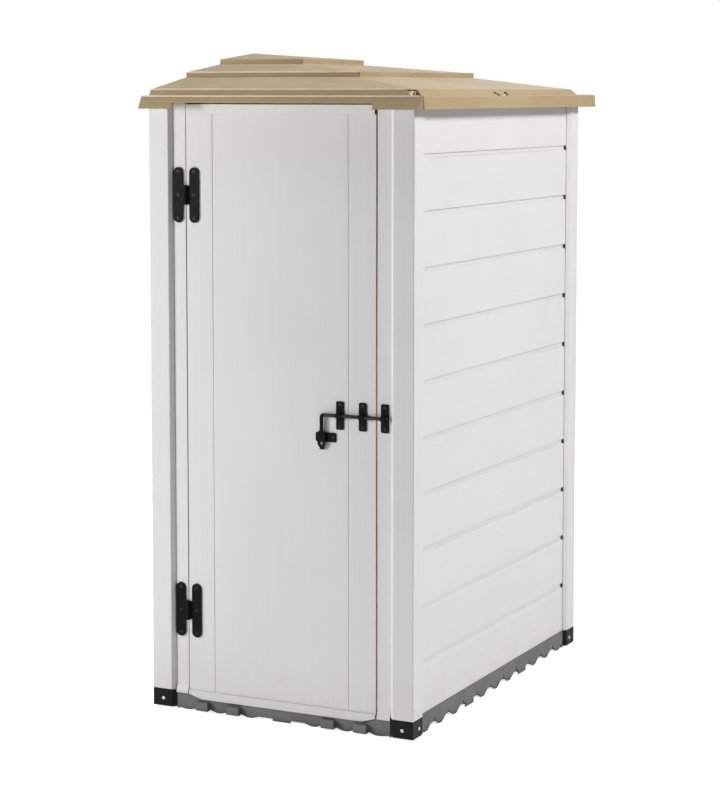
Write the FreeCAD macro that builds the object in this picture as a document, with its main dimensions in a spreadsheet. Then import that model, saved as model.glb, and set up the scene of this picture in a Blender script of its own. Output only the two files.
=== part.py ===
import FreeCAD, Part
import Sketcher
import os

# A free-standing garden storage cabinet in millimetres. It stands on the plane z = 0 with +Z up,
# its door faces -Y, and the origin lies under the middle of its bounding box.
doc = FreeCAD.newDocument("garden_storage_cabinet")
sheet = doc.addObject("Spreadsheet::Sheet", "Sizes")

SIZES = [
    ("foot_height", 54.5, "top of the foot caps and of the floor tiles above the ground"),
    ("foot_lift", 4.5, "lower edge of the foot caps above the teeth of the tiles"),
    ("foot_wall", 4, "wall of the foot cap, open below"),
    ("foot_stub", 25, "part of the foot cap that stands up inside the post"),
    ("post_width", 73, "corner post along X, chamfer included"),
    ("post_depth", 73, "corner post along Y, chamfer included"),
    ("post_wall", 3, "wall of the hollow post"),
    ("wall_recess", 12, "planks, jambs and door behind the outer faces of the posts"),
    ("panel_thickness", 26, "thickness of planks, jambs and door boards"),
    ("panel_skin", 1.6, "skin and webs of the hollow boards"),
    ("narrow_cells", 2, "cells in a jamb or in a narrow door board"),
    ("wide_cells", 8, "cells in the wide door board"),
    ("plank_cells", 3, "cells in a wall plank"),
    ("channel_depth", 14, "channel in the post that takes the end of a board"),
    ("channel_clearance", 0.3, "side play of a board in its channel"),
    ("end_clearance", 0.5, "end play of a board in its channel"),
    ("cut_over", 1, "how far a cutting shape runs past the surface that it cuts"),
    ("plank_pitch", 153.4, "height that one wall plank adds"),
    ("plank_count", 11, "planks in each wall"),
    ("joint_gap", 0.2, "play between two planks"),
    ("rebate_height", 14, "rebate along the top of a plank, under the edge of the next one"),
    ("rebate_depth", 3.5, "depth of that rebate"),
    ("rebate_slope", 4, "height of the sloping lower side of the rebate"),
    ("tongue_width", 9, "tongue on top of a plank"),
    ("tongue_height", 3, "height of the tongue"),
    ("tongue_play", 0.4, "play around the tongue in the groove of the next plank"),
    ("notch_length", 11, "notch at the rear end of the rebate of a side plank"),
    ("notch_depth", 8, "depth of that notch"),
    ("tile_size", 400, "side of a square floor tile, two across and three deep"),
    ("tile_margin_side", 10, "outer side faces of the posts beyond the floor tiles"),
    ("tile_margin_front", 10, "outer front and rear faces of the posts beyond the floor tiles"),
    ("tile_gap", 0.4, "gap between floor tiles"),
    ("tile_deck", 4, "deck of a floor tile"),
    ("tile_rib", 3, "ribs and edge walls below the deck"),
    ("tile_ribs", 3, "ribs each way inside a tile"),
    ("tile_teeth", 4, "arches between the teeth along one tile edge"),
    ("tooth_end", 6, "steep end of a side tooth from its middle"),
    ("arch_shoulder", 31, "where an arch of a side edge reaches its full height, from the tooth"),
    ("arch_height", 15, "height of the arches along the side edges"),
    ("slot_at", 52, "middle of the narrow slot from the tooth"),
    ("slot_half", 3.5, "half width of the narrow slot"),
    ("slot_top", 26, "height of the narrow slot"),
    ("fall_start", 34, "where an arch begins to fall, before the middle of the next tooth"),
    ("fall_bend", 25, "bend of that fall before the middle of the next tooth"),
    ("fall_bend_height", 4.5, "height of the bend"),
    ("tooth_start", 14, "sloping end of a side tooth before its middle"),
    ("front_tooth_half", 7, "half width of a tooth of the front and rear edges"),
    ("front_shoulder", 28, "shoulder of an arch of those edges from its tooth"),
    ("front_arch_height", 6.7, "height of those arches"),
    ("seam_tooth", 28, "square tooth beside a seam between two tiles"),
    ("tab_width", 39, "connecting tab on the front edge of a tile"),
    ("tab_reach", 15, "tab in front of the tile edge"),
    ("tab_clearance", 7, "connecting tab below the lip of the door"),
    ("foot_play", 0.6, "play between a floor tile and the foot cap"),
    ("hinge_jamb", 38, "jamb that shows beside the left post"),
    ("latch_jamb", 40, "jamb that shows beside the right post"),
    ("hinge_seam", 3, "gap between the hinge jamb and the door"),
    ("latch_seam", 5, "gap between the door and the latch jamb"),
    ("stile_width", 83, "door boards left and right of the centre panel"),
    ("board_gap", 0.3, "gap between two door boards"),
    ("board_bevel", 1.2, "small bevel along the seams of the door"),
    ("floor_gap", 2, "door above the floor tiles"),
    ("shelf_thickness", 2.5, "shelf of the bottom rail under the door boards"),
    ("lip_thickness", 3, "lip of the bottom rail in front of the floor tiles"),
    ("lip_gap", 0.8, "gap between the lip and the floor tiles"),
    ("lip_drop", 19.5, "lip below the top of the floor tiles"),
    ("lip_corner", 40, "sloping lower corners of the lip"),
    ("jamb_lip_drop", 7.5, "lip of the jambs below the top of the floor tiles"),
    ("jamb_lip_slope", 14, "slope from the face of a jamb out to its lip"),
    ("top_rail_height", 26, "rail across the top of the door"),
    ("top_rail_proud", 1.5, "rail in front of the door boards"),
    ("top_rail_short", 3.5, "rail short of the door's free edge"),
    ("head_gap", 4, "door below the cut-out of the front fascia"),
    ("header_gap", 3, "gap between the door and the header"),
    ("ledge_rise", 1.1, "top of the ledge round the roof above the walls"),
    ("ledge_front", 34, "ledge in front of and behind the body"),
    ("ledge_side", 42, "ledge beyond the right side of the body"),
    ("gable_overhang", 3, "roof beyond the left side of the body"),
    ("fascia_drop", 35, "fascia from the ledge down to its lower edge"),
    ("fascia_flare_front", 19, "outward flare of the front and rear fascias"),
    ("fascia_flare_side", 3, "outward flare of the right fascia"),
    ("fascia_mitre", 10, "front fascia cut back at its right lower corner"),
    ("cutout_clearance", 13, "end of the fascia beyond the door's hinge edge"),
    ("cutout_drop", 18.5, "upper edge of that cut-out below the ledge"),
    ("roof_sheet", 3, "thickness of the roof panels"),
    ("hip_gap", 0.4, "gap between two roof panels"),
    ("riser_inset_side", 1, "foot of the lowest riser inside the body's right face"),
    ("riser_inset_front", 4, "foot of the lowest riser inside the body's front face"),
    ("riser_run_side", 17, "slant of the lowest riser on the right"),
    ("riser_run_front", 13, "slant of the lowest riser at the front and rear"),
    ("riser_rise", 18.5, "height of the lowest riser"),
    ("tier_two_reach", 558, "second step from the gable"),
    ("tier_two_half", 398, "second step from the middle, towards the front and rear"),
    ("tier_two_climb", 35, "climb of the roof from the lowest riser to the second step"),
    ("tier_two_rise", 14, "height of the second step"),
    ("tier_three_reach", 276, "third step from the gable"),
    ("tier_three_half", 202, "third step from the middle, towards the front and rear"),
    ("tier_three_climb", 25, "climb of the roof from the second step to the third"),
    ("tier_three_rise", 14.5, "height of the third step"),
    ("apex_climb", 20.5, "climb of the roof from the third step to its highest point"),
    ("corner_opening", 48, "open end of the lowest riser at the front right corner"),
    ("corner_opening_front", 10.5, "the same opening along the front riser, from the riser's end"),
    ("clip_slot_width", 100, "slot in the riser over the middle of the right side"),
    ("clip_slot_height", 11, "height of that slot"),
    ("roof_tongue_radius", 60, "radius of the round tongue that hangs into the slot"),
    ("roof_tongue_gap", 1.5, "gap under the tongue"),
    ("riser_lip", 0.5, "strip of the riser that stays below an opening"),
    ("riser_edge", 1, "strip of the riser that stays above the open corner"),
    ("roof_clearance", 0.3, "gap between the gable panel and the other roof panels"),
    ("seat_gap", 0.3, "roof above the rails that carry it"),
    ("clip_inset", 25, "tower of the corner clip inside the faces of the post"),
    ("clip_width", 25, "side of the tower of the corner clip"),
    ("clip_flange", 3, "flange of the corner clip on the post"),
    ("clip_plug", 20, "part of the corner clip inside the post"),
    ("post_drop", 8, "top of the post below the ledge"),
    ("upper_hinge_drop", 253, "middle of the upper hinge below the top of the door"),
    ("lower_hinge_rise", 230.5, "middle of the lower hinge above the lower end of the door boards"),
    ("leaf_length", 155, "length of a hinge leaf"),
    ("leaf_margin", 0.5, "hinge leaf beside the post"),
    ("leaf_thickness", 4, "thickness of a hinge leaf"),
    ("leaf_offset", 10.5, "edge of a hinge leaf from the hinge axis"),
    ("barrel_radius", 6.5, "radius of the hinge barrel"),
    ("barrel_length", 51, "length of the hinge barrel"),
    ("barrel_clearance", 0.5, "hinge barrel in front of the door"),
    ("knuckle_gap", 0.5, "gap between two knuckles"),
    ("pin_radius", 3, "radius of the hinge pin"),
    ("pin_play", 0.05, "radial running clearance of the hinge pin"),
    ("pin_head", 2, "height of the head of the pin above and below the barrel"),
    ("pin_head_radius", 5.5, "radius of the heads of the pin"),
    ("leaf_screw_spacing", 65.5, "outer screws of a leaf from its middle"),
    ("screw_head_radius", 4.5, "countersunk screw head"),
    ("screw_head_height", 2.2, "height of the countersunk head"),
    ("screw_radius", 2, "screw shank"),
    ("screw_play", 0.2, "radial clearance of a screw in its hole"),
    ("screw_length", 12, "screw shank behind the plate"),
    ("latch_height", 876.5, "axis of the bolt above the ground"),
    ("bolt_radius", 5, "radius of the bolt and of its handle"),
    ("bolt_play", 0.4, "clearance of the bolt in its guides"),
    ("guide_width", 23, "width of a guide plate"),
    ("guide_length", 78, "height of a guide plate"),
    ("guide_thickness", 3, "thickness of a guide plate"),
    ("plate_corner", 4, "rounded corners of the guide plates and of the padlock plate"),
    ("guide_screw_spacing", 30, "screws of a guide plate from its middle"),
    ("strap_width", 16, "strap over the bolt"),
    ("strap_wall", 2.6, "wall of the strap"),
    ("first_guide_inset", 108, "first guide from the door's free edge"),
    ("second_guide_inset", 39, "second guide from the door's free edge"),
    ("keeper_inset", 22.5, "keeper from the edge of the latch jamb"),
    ("bolt_end", 14, "end of the bolt beyond the middle of the keeper"),
    ("bolt_length", 194, "bolt from its end to the handle"),
    ("elbow_length", 9, "handle from its leg to the end of the bolt"),
    ("bend_radius", 7, "bend between the bolt's line and the leg of the handle"),
    ("turn_gap", 0.3, "gap between the bolt and the handle that turns on it"),
    ("handle_drop", 79, "eye of the handle below the bolt"),
    ("blade_rise", 28, "full width of the handle's flat end above the eye"),
    ("blade_flare", 9, "height over which the leg widens into the flat end"),
    ("eye_radius", 11.5, "round lower end of the handle"),
    ("eye_thickness", 3, "thickness of that eye"),
    ("eye_bore", 4.5, "radius of the hole for a padlock"),
    ("eye_gap", 0.4, "gap between the eye and the tab behind it"),
    ("hasp_width", 62, "padlock plate along X"),
    ("hasp_height", 26, "padlock plate along Z"),
    ("hasp_left", 20.5, "padlock plate beyond the handle's leg"),
    ("hasp_above_eye", 4, "lower edge of the padlock plate above the eye's middle"),
    ("hasp_screw_inset", 8.5, "screws of the padlock plate from its ends"),
    ("tab_half_width", 6.5, "half width of the padlock tab"),
    ("tab_drop", 17, "tab below the eye's middle"),
    ("tab_thickness", 2.5, "thickness of the padlock tab"),
    ("tab_root", 5, "height of the root of the tab on the plate"),
    ("foot_screw_height", 26.5, "screws in the foot caps above the ground"),
    ("foot_screw_across", 33, "screw in the front face from the post's outer side"),
    ("foot_screw_along", 40, "screw in the side face from the post's outer face"),
    ("button_radius", 5, "button head of the foot and post screws"),
    ("button_height", 2, "height of the button head"),
    ("post_screw_rise", 14, "post screw above the foot cap"),
    ("post_screw_along", 28, "post screw from the post's outer face"),
]

for row, (name, number, meaning) in enumerate(SIZES, start=1):
    sheet.set(f"A{row}", meaning)
    sheet.set(f"B{row}", str(number))
    sheet.setAlias(f"B{row}", name)
doc.recompute()


class Size:
    """A length that carries its number together with its spreadsheet expression."""

    def __init__(self, number, text):
        self.number = number
        self.text = text

    def __add__(self, other):
        other = as_size(other)
        return Size(self.number + other.number, f"({self.text} + {other.text})")

    def __radd__(self, other):
        return as_size(other) + self

    def __sub__(self, other):
        other = as_size(other)
        return Size(self.number - other.number, f"({self.text} - {other.text})")

    def __rsub__(self, other):
        return as_size(other) - self

    def __mul__(self, other):
        other = as_size(other)
        return Size(self.number * other.number, f"({self.text} * {other.text})")

    def __rmul__(self, other):
        return as_size(other) * self

    def __truediv__(self, other):
        other = as_size(other)
        return Size(self.number / other.number, f"({self.text} / {other.text})")

    def __neg__(self):
        return Size(-self.number, f"(0 - {self.text})")


def as_size(value):
    """Return a plain number as a Size, and a Size as it is."""
    if isinstance(value, Size):
        return value
    return Size(float(value), f"({value})")


class Sizes:
    """The sheet's cells under their own names."""


dim = Sizes()
for name, number, meaning in SIZES:
    setattr(dim, name, Size(float(sheet.get(name)), f"Sizes.{name}"))

AXES = {
    "x": FreeCAD.Vector(1, 0, 0),
    "-x": FreeCAD.Vector(-1, 0, 0),
    "y": FreeCAD.Vector(0, 1, 0),
    "-y": FreeCAD.Vector(0, -1, 0),
    "z": FreeCAD.Vector(0, 0, 1),
    "-z": FreeCAD.Vector(0, 0, -1),
}
NODES = []


def bind(item, path, value):
    """Bind a property of an object to the expression of a size."""
    item.setExpression(path, as_size(value).text)


def place(item, start, axis="z"):
    """Put an object at a point, with its own Z along an axis."""
    turn = FreeCAD.Rotation(FreeCAD.Vector(0, 0, 1), AXES[axis])
    item.Placement = FreeCAD.Placement(FreeCAD.Vector(0, 0, 0), turn)
    for letter, value in zip("xyz", start):
        bind(item, f"Placement.Base.{letter}", value)


def box(name, low, high):
    """A block between two corners."""
    item = doc.addObject("Part::Box", name)
    for path, start, end in zip(("Length", "Width", "Height"), low, high):
        bind(item, path, as_size(end) - start)
    place(item, low)
    return item


def cylinder(name, radius, length, start, axis):
    """A round bar from a point along an axis."""
    item = doc.addObject("Part::Cylinder", name)
    bind(item, "Radius", radius)
    bind(item, "Height", length)
    place(item, start, axis)
    return item


def cone(name, first_radius, last_radius, length, start, axis):
    """A cone frustum from a point along an axis."""
    item = doc.addObject("Part::Cone", name)
    bind(item, "Radius1", first_radius)
    bind(item, "Radius2", last_radius)
    bind(item, "Height", length)
    place(item, start, axis)
    return item


def ball(name, radius, centre):
    """A sphere."""
    item = doc.addObject("Part::Sphere", name)
    bind(item, "Radius", radius)
    place(item, centre)
    return item


def quarter_ring(name, ring_radius, bar_radius, centre, axis):
    """A quarter of a ring whose middle plane lies square to an axis."""
    item = doc.addObject("Part::Torus", name)
    bind(item, "Radius1", ring_radius)
    bind(item, "Radius2", bar_radius)
    item.Angle3 = 90
    place(item, centre, axis)
    return item


def outline(sketch, points):
    """Draw one closed outline whose corners are bound to the sheet."""
    first = sketch.GeometryCount
    count = len(points)
    corners = []
    for across, up in points:
        corners.append(FreeCAD.Vector(as_size(across).number, as_size(up).number, 0))
    for index in range(count):
        sketch.addGeometry(Part.LineSegment(corners[index], corners[(index + 1) % count]), False)
    for index in range(count):
        following = first + (index + 1) % count
        sketch.addConstraint(Sketcher.Constraint("Coincident", first + index, 2, following, 1))
    for index, point in enumerate(points):
        for kind, value in zip(("DistanceX", "DistanceY"), point):
            value = as_size(value)
            number = sketch.addConstraint(
                Sketcher.Constraint(kind, -1, 1, first + index, 1, value.number))
            sketch.setExpression(f"Constraints[{number}]", value.text)


def prism(name, plane, points, low, high, holes=()):
    """A body padded from a closed outline on the XY, XZ or YZ plane, between two levels."""
    body = doc.addObject("PartDesign::Body", name)
    sketch = body.newObject("Sketcher::SketchObject", f"{name}_outline")
    for feature in body.Origin.OriginFeatures:
        if feature.Role == f"{plane}_Plane":
            sketch.AttachmentSupport = [(feature, "")]
    sketch.MapMode = "FlatFace"
    level = -as_size(high) if plane == "XZ" else as_size(low)
    bind(sketch, "AttachmentOffset.Base.z", level)
    outline(sketch, points)
    for hole in holes:
        outline(sketch, hole)
    pad = body.newObject("PartDesign::Pad", f"{name}_pad")
    pad.Profile = sketch
    bind(pad, "Length", as_size(high) - low)
    body.Tip = pad
    return body


def rectangle(low_across, low_up, high_across, high_up):
    """Corners of a rectangle for an outline."""
    return [(low_across, low_up), (high_across, low_up), (high_across, high_up), (low_across, high_up)]


def fuse(name, items):
    """One solid out of several."""
    item = doc.addObject("Part::MultiFuse", name)
    item.Shapes = items
    return item


def cut(name, base, tools):
    """A solid less one or more others."""
    item = doc.addObject("Part::Cut", name)
    item.Base = base
    item.Tool = tools[0] if len(tools) == 1 else fuse(f"{name}_tools", tools)
    return item


def common(name, first, second):
    """What two solids share."""
    item = doc.addObject("Part::Common", name)
    item.Base = first
    item.Tool = second
    return item


def mirror(name, source, axis, level=0):
    """The mirror image of a solid across a plane square to the X or Y axis."""
    item = doc.addObject("Part::Mirroring", name)
    item.Source = source
    item.Normal = AXES[axis]
    bind(item, f"Base.{axis}", level)
    return item


def group(name, items):
    """Several separate solids under one name."""
    item = doc.addObject("Part::Compound", name)
    item.Links = items
    return item


def node(label, item):
    """Register a finished piece under its own name."""
    item.Label = label
    NODES.append(item)
    return item


# Levels that several pieces share. The body is set left of the origin because the roof stands
# out further on the right than on the left.
middle = (dim.gable_overhang - dim.ledge_side - dim.fascia_flare_side) / 2
tile_left = middle - dim.tile_size
tile_right = middle + dim.tile_size
tile_front = -1.5 * dim.tile_size
tile_rear = 1.5 * dim.tile_size
left = tile_left - dim.tile_margin_side
right = tile_right + dim.tile_margin_side
front = tile_front - dim.tile_margin_front
rear = tile_rear + dim.tile_margin_front
post_left = left + dim.post_width
post_right = right - dim.post_width
post_front = front + dim.post_depth
post_rear = rear - dim.post_depth
door_face = front + dim.wall_recess
door_back = door_face + dim.panel_thickness
wall_top = dim.foot_height + dim.plank_count * dim.plank_pitch
ledge_height = wall_top + dim.ledge_rise
post_top = ledge_height - dim.post_drop
channel_from = dim.wall_recess - dim.channel_clearance
channel_to = dim.wall_recess + dim.panel_thickness + dim.channel_clearance
insert = dim.channel_depth - dim.end_clearance
door_left = post_left + dim.hinge_jamb + dim.hinge_seam
door_right = post_right - dim.latch_jamb - dim.latch_seam
door_top = ledge_height - dim.cutout_drop - dim.head_gap
header_bottom = door_top + dim.header_gap
shelf_bottom = dim.foot_height + dim.floor_gap
boards_bottom = shelf_bottom + dim.shelf_thickness
boards_top = door_top - dim.top_rail_height
lip_bottom = dim.foot_height - dim.lip_drop
lip_back = tile_front - dim.lip_gap
lip_front = lip_back - dim.lip_thickness
jamb_lip_bottom = dim.foot_height - dim.jamb_lip_drop


def seat_level(wall_face_inset, riser_inset, riser_run):
    """Height of the inside of the lowest riser above the outer face of a wall."""
    along = (wall_face_inset - riser_inset) / riser_run
    steepness = dim.riser_rise / riser_run
    return ledge_height + along * dim.riser_rise - dim.roof_sheet * (1 + steepness)


side_seat = seat_level(dim.wall_recess, dim.riser_inset_side, dim.riser_run_side) - dim.seat_gap
front_seat = seat_level(dim.wall_recess, dim.riser_inset_front, dim.riser_run_front) - dim.seat_gap


def corner_point(across, along, is_right, is_rear):
    """A plan point from its distances to the outer faces of a corner post."""
    x = right - across if is_right else left + across
    y = rear - along if is_rear else front + along
    return (x, y)


CORNERS = [
    ("front_left", False, False),
    ("front_right", True, False),
    ("rear_left", False, True),
    ("rear_right", True, True),
]


def make_post(name, is_right, is_rear):
    """Hollow corner post with a chamfer and with channels for the boards on both sides."""
    width = dim.post_width
    depth = dim.post_depth
    channel_bottom_x = width - dim.channel_depth
    channel_bottom_y = depth - dim.channel_depth
    section = [
        (0, 0),
        (width - dim.wall_recess, 0),
        (width - dim.channel_clearance, channel_from),
        (channel_bottom_x, channel_from),
        (channel_bottom_x, channel_to),
        (width, channel_to),
        (width, depth),
        (channel_to, depth),
        (channel_to, channel_bottom_y),
        (channel_from, channel_bottom_y),
        (channel_from, depth - dim.channel_clearance),
        (0, depth - dim.wall_recess),
    ]
    core = rectangle(dim.post_wall, dim.post_wall,
                     channel_bottom_x - dim.post_wall, channel_bottom_y - dim.post_wall)
    pocket = rectangle(channel_bottom_x, channel_to + dim.post_wall,
                       width - dim.post_wall, depth - dim.post_wall)
    outlines = []
    for points in (section, core, pocket):
        outlines.append([corner_point(across, along, is_right, is_rear) for across, along in points])
    shaft = prism(f"post_{name}_shaft", "XY", outlines[0], dim.foot_height, post_top, outlines[1:])
    return shaft


def post_screw_start(is_right, is_rear):
    """Where the side screw of a post enters its outer side face."""
    x = right if is_right else left
    y = rear - dim.post_screw_along if is_rear else front + dim.post_screw_along
    return (x, y, dim.foot_height + dim.post_screw_rise)


def make_foot(name, is_right, is_rear):
    """Foot cap with the outline of the post, hollow below, and its stub inside the post."""
    wall = dim.foot_wall
    width = dim.post_width
    depth = dim.post_depth
    section = [
        (0, 0),
        (width - dim.wall_recess, 0),
        (width, dim.wall_recess),
        (width, depth),
        (dim.wall_recess, depth),
        (0, depth - dim.wall_recess),
    ]
    inside = [
        (wall, wall),
        (width - dim.wall_recess - wall / 2, wall),
        (width - wall, dim.wall_recess + wall / 2),
        (width - wall, depth - wall),
        (dim.wall_recess + wall / 2, depth - wall),
        (wall, depth - dim.wall_recess - wall / 2),
    ]
    play = dim.post_wall + dim.channel_clearance
    stub = rectangle(play, play, width - dim.channel_depth - play, depth - dim.channel_depth - play)
    outlines = []
    for points in (section, inside, stub):
        outlines.append([corner_point(across, along, is_right, is_rear) for across, along in points])
    cap = prism(f"foot_{name}_cap", "XY", outlines[0], dim.foot_lift, dim.foot_height)
    hollow = prism(f"foot_{name}_hollow", "XY", outlines[1], 0, dim.foot_height - wall)
    plug = prism(f"foot_{name}_plug", "XY", outlines[2], dim.foot_height,
                 dim.foot_height + dim.foot_stub)
    return cut(f"foot_{name}_shell", fuse(f"foot_{name}_block", [cap, plug]), [hollow])


def foot_screw_starts(is_right, is_rear):
    """Where the two screws of a foot cap enter its outer faces, with their directions."""
    level = dim.foot_screw_height
    across = right - dim.foot_screw_across if is_right else left + dim.foot_screw_across
    along = rear - dim.foot_screw_along if is_rear else front + dim.foot_screw_along
    face = ((across, rear if is_rear else front, level), "-y" if is_rear else "y")
    side = ((right if is_right else left, along, level), "-x" if is_right else "x")
    return [face, side]


OPPOSITE = {"x": "-x", "-x": "x", "y": "-y", "-y": "y"}


def button_screw(name, start, axis):
    """Screw whose button head stands outside and whose shank runs inwards along the axis."""
    head = cone(f"{name}_head", dim.button_radius, dim.button_radius - dim.button_height,
                dim.button_height, start, OPPOSITE[axis])
    shank = cylinder(f"{name}_shank", dim.screw_radius, dim.screw_length, start, axis)
    return fuse(name, [head, shank])


def screw_hole(name, start, axis, depth):
    """Clearance hole for a screw shank."""
    return cylinder(name, dim.screw_radius + dim.screw_play, depth, start, axis)


# Corner posts, foot caps and their screws.
foot_screws = []
post_screws = []
for corner, is_right, is_rear in CORNERS:
    side_axis = "-x" if is_right else "x"
    shank_room = dim.screw_length + dim.end_clearance
    side_start = post_screw_start(is_right, is_rear)
    post_screws.append(button_screw(f"post_screw_{corner}", side_start, side_axis))
    shaft = make_post(corner, is_right, is_rear)
    drilled_post = screw_hole(f"post_{corner}_hole", side_start, side_axis, shank_room)
    node(f"post_{corner}", cut(f"post_{corner}_drilled", shaft, [drilled_post]))
    cap = make_foot(corner, is_right, is_rear)
    holes = [screw_hole(f"foot_{corner}_stub_hole", side_start, side_axis, shank_room)]
    for index, (start, axis) in enumerate(foot_screw_starts(is_right, is_rear)):
        foot_screws.append(button_screw(f"foot_screw_{corner}_{index}", start, axis))
        holes.append(screw_hole(f"foot_{corner}_hole_{index}", start, axis, shank_room))
    node(f"foot_{corner}", cut(f"foot_{corner}_drilled", cap, holes))
node("foot_screws", group("foot_screw_group", foot_screws))
node("post_screws", group("post_screw_group", post_screws))


def clip_shape(name, is_right, is_rear):
    """White clip on the post: a plug, a flange on the post and a tower that carries the roof."""
    play = dim.post_wall + dim.channel_clearance
    core_x = dim.post_width - dim.channel_depth
    core_y = dim.post_depth - dim.channel_depth
    tower_to = dim.clip_inset + dim.clip_width
    blocks = [
        (rectangle(play, play, core_x - play, core_y - play), post_top - dim.clip_plug, post_top),
        (rectangle(dim.channel_clearance, dim.channel_clearance, core_x, core_y - dim.end_clearance),
         post_top, post_top + dim.clip_flange),
        (rectangle(dim.clip_inset, dim.clip_inset, tower_to, tower_to),
         post_top + dim.clip_flange,
         ledge_height + dim.riser_rise - dim.roof_sheet - dim.seat_gap),
    ]
    solids = []
    for index, (points, low, high) in enumerate(blocks):
        plan = [corner_point(across, along, is_right, is_rear) for across, along in points]
        solids.append(prism(f"{name}_part_{index}", "XY", plan, low, high))
    return fuse(name, solids)


clips = []
for corner, is_right, is_rear in CORNERS:
    clips.append(clip_shape(f"corner_clip_{corner}", is_right, is_rear))
node("corner_clips", group("corner_clip_group", clips))


def plank_section(face, inward, level):
    """Section of a hollow plank: face is its outer plane, inward the sign towards the inside."""
    thickness = dim.panel_thickness
    height = dim.plank_pitch - dim.joint_gap
    tongue_from = (thickness - dim.tongue_width) / 2
    tongue_to = (thickness + dim.tongue_width) / 2
    groove_top = dim.tongue_height + dim.tongue_play
    shape = [
        (0, 0),
        (0, height - dim.rebate_height),
        (dim.rebate_depth, height - dim.rebate_height + dim.rebate_slope),
        (dim.rebate_depth, height),
        (tongue_from, height),
        (tongue_from, height + dim.tongue_height),
        (tongue_to, height + dim.tongue_height),
        (tongue_to, height),
        (thickness, height),
        (thickness, 0),
        (tongue_to + dim.tongue_play, 0),
        (tongue_to + dim.tongue_play, groove_top),
        (tongue_from - dim.tongue_play, groove_top),
        (tongue_from - dim.tongue_play, 0),
    ]
    chambers = []
    lowest = groove_top + dim.panel_skin
    room = height - dim.rebate_height - lowest
    cells = int(dim.plank_cells.number)
    for index in range(cells):
        low = lowest + room * index / cells
        high = lowest + room * (index + 1) / cells - dim.panel_skin
        chambers.append(rectangle(dim.panel_skin, low, thickness - dim.panel_skin, high))
    moved = []
    for points in [shape] + chambers:
        moved.append([(face + inward * depth, level + up) for depth, up in points])
    return moved


# Wall planks, one above the other between the posts, tongue into groove.
side_from = post_front - insert
side_to = post_rear + insert
rear_from = post_left - insert
rear_to = post_right + insert
left_planks = []
rear_planks = []
for index in range(int(dim.plank_count.number)):
    number = f"{index + 1:02d}"
    level = dim.foot_height + index * dim.plank_pitch
    section = plank_section(right - dim.wall_recess, -1, level)
    board = prism(f"right_board_{number}", "XZ", section[0], side_from, side_to, section[1:])
    plank_top = level + dim.plank_pitch - dim.joint_gap
    notch = box(f"right_notch_{number}",
                (right - dim.wall_recess - dim.notch_depth, post_rear - dim.notch_length,
                 plank_top - dim.rebate_height),
                (right, side_to + dim.cut_over, plank_top))
    plank = cut(f"right_plank_{number}", board, [notch])
    node(f"right_wall_plank_{number}", plank)
    left_planks.append(mirror(f"left_plank_{number}", plank, "x", middle))
    section = plank_section(rear - dim.wall_recess, -1, level)
    rear_planks.append(prism(f"rear_plank_{number}", "YZ", section[0], rear_from, rear_to, section[1:]))
node("left_wall_planks", group("left_plank_group", left_planks))
node("rear_wall_planks", group("rear_plank_group", rear_planks))


def rail_section(face, inward, top):
    """Section of the rail that caps a wall and takes the tongue of its top plank."""
    thickness = dim.panel_thickness
    tongue_from = (thickness - dim.tongue_width) / 2 - dim.tongue_play
    tongue_to = (thickness + dim.tongue_width) / 2 + dim.tongue_play
    groove_top = wall_top + dim.tongue_height + dim.tongue_play
    shape = [
        (0, wall_top),
        (0, top),
        (thickness, top),
        (thickness, wall_top),
        (tongue_to, wall_top),
        (tongue_to, groove_top),
        (tongue_from, groove_top),
        (tongue_from, wall_top),
    ]
    return [(face + inward * depth, level) for depth, level in shape]


right_rail = prism("right_rail", "XZ", rail_section(right - dim.wall_recess, -1, side_seat),
                   side_from, side_to)
left_rail = mirror("left_rail", right_rail, "x", middle)
node("side_top_rails", group("side_rail_group", [right_rail, left_rail]))
node("rear_top_rail", prism("rear_rail", "YZ", rail_section(rear - dim.wall_recess, -1, front_seat),
                            rear_from, rear_to))

tooth_pitch = dim.tile_size / dim.tile_teeth

# From one tooth to the next the lower edge of a tile rises, passes a narrow slot on the side
# edges only, and falls again: the points of the three parts from the middle of the first tooth.
SIDE_EDGE = (
    [(dim.tooth_end, 0), (dim.arch_shoulder, dim.arch_height)],
    [
        (dim.slot_at - dim.slot_half, dim.arch_height),
        (dim.slot_at, dim.slot_top),
        (dim.slot_at + dim.slot_half, dim.slot_top),
        (dim.slot_at + dim.slot_half, dim.arch_height),
    ],
    [
        (tooth_pitch - dim.fall_start, dim.arch_height),
        (tooth_pitch - dim.fall_bend, dim.fall_bend_height),
        (tooth_pitch - dim.tooth_start, 0),
    ],
)
END_EDGE = (
    [(dim.front_tooth_half, 0), (dim.front_shoulder, dim.front_arch_height)],
    [],
    [(tooth_pitch - dim.front_shoulder, dim.front_arch_height),
     (tooth_pitch - dim.front_tooth_half, 0)],
)


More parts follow.
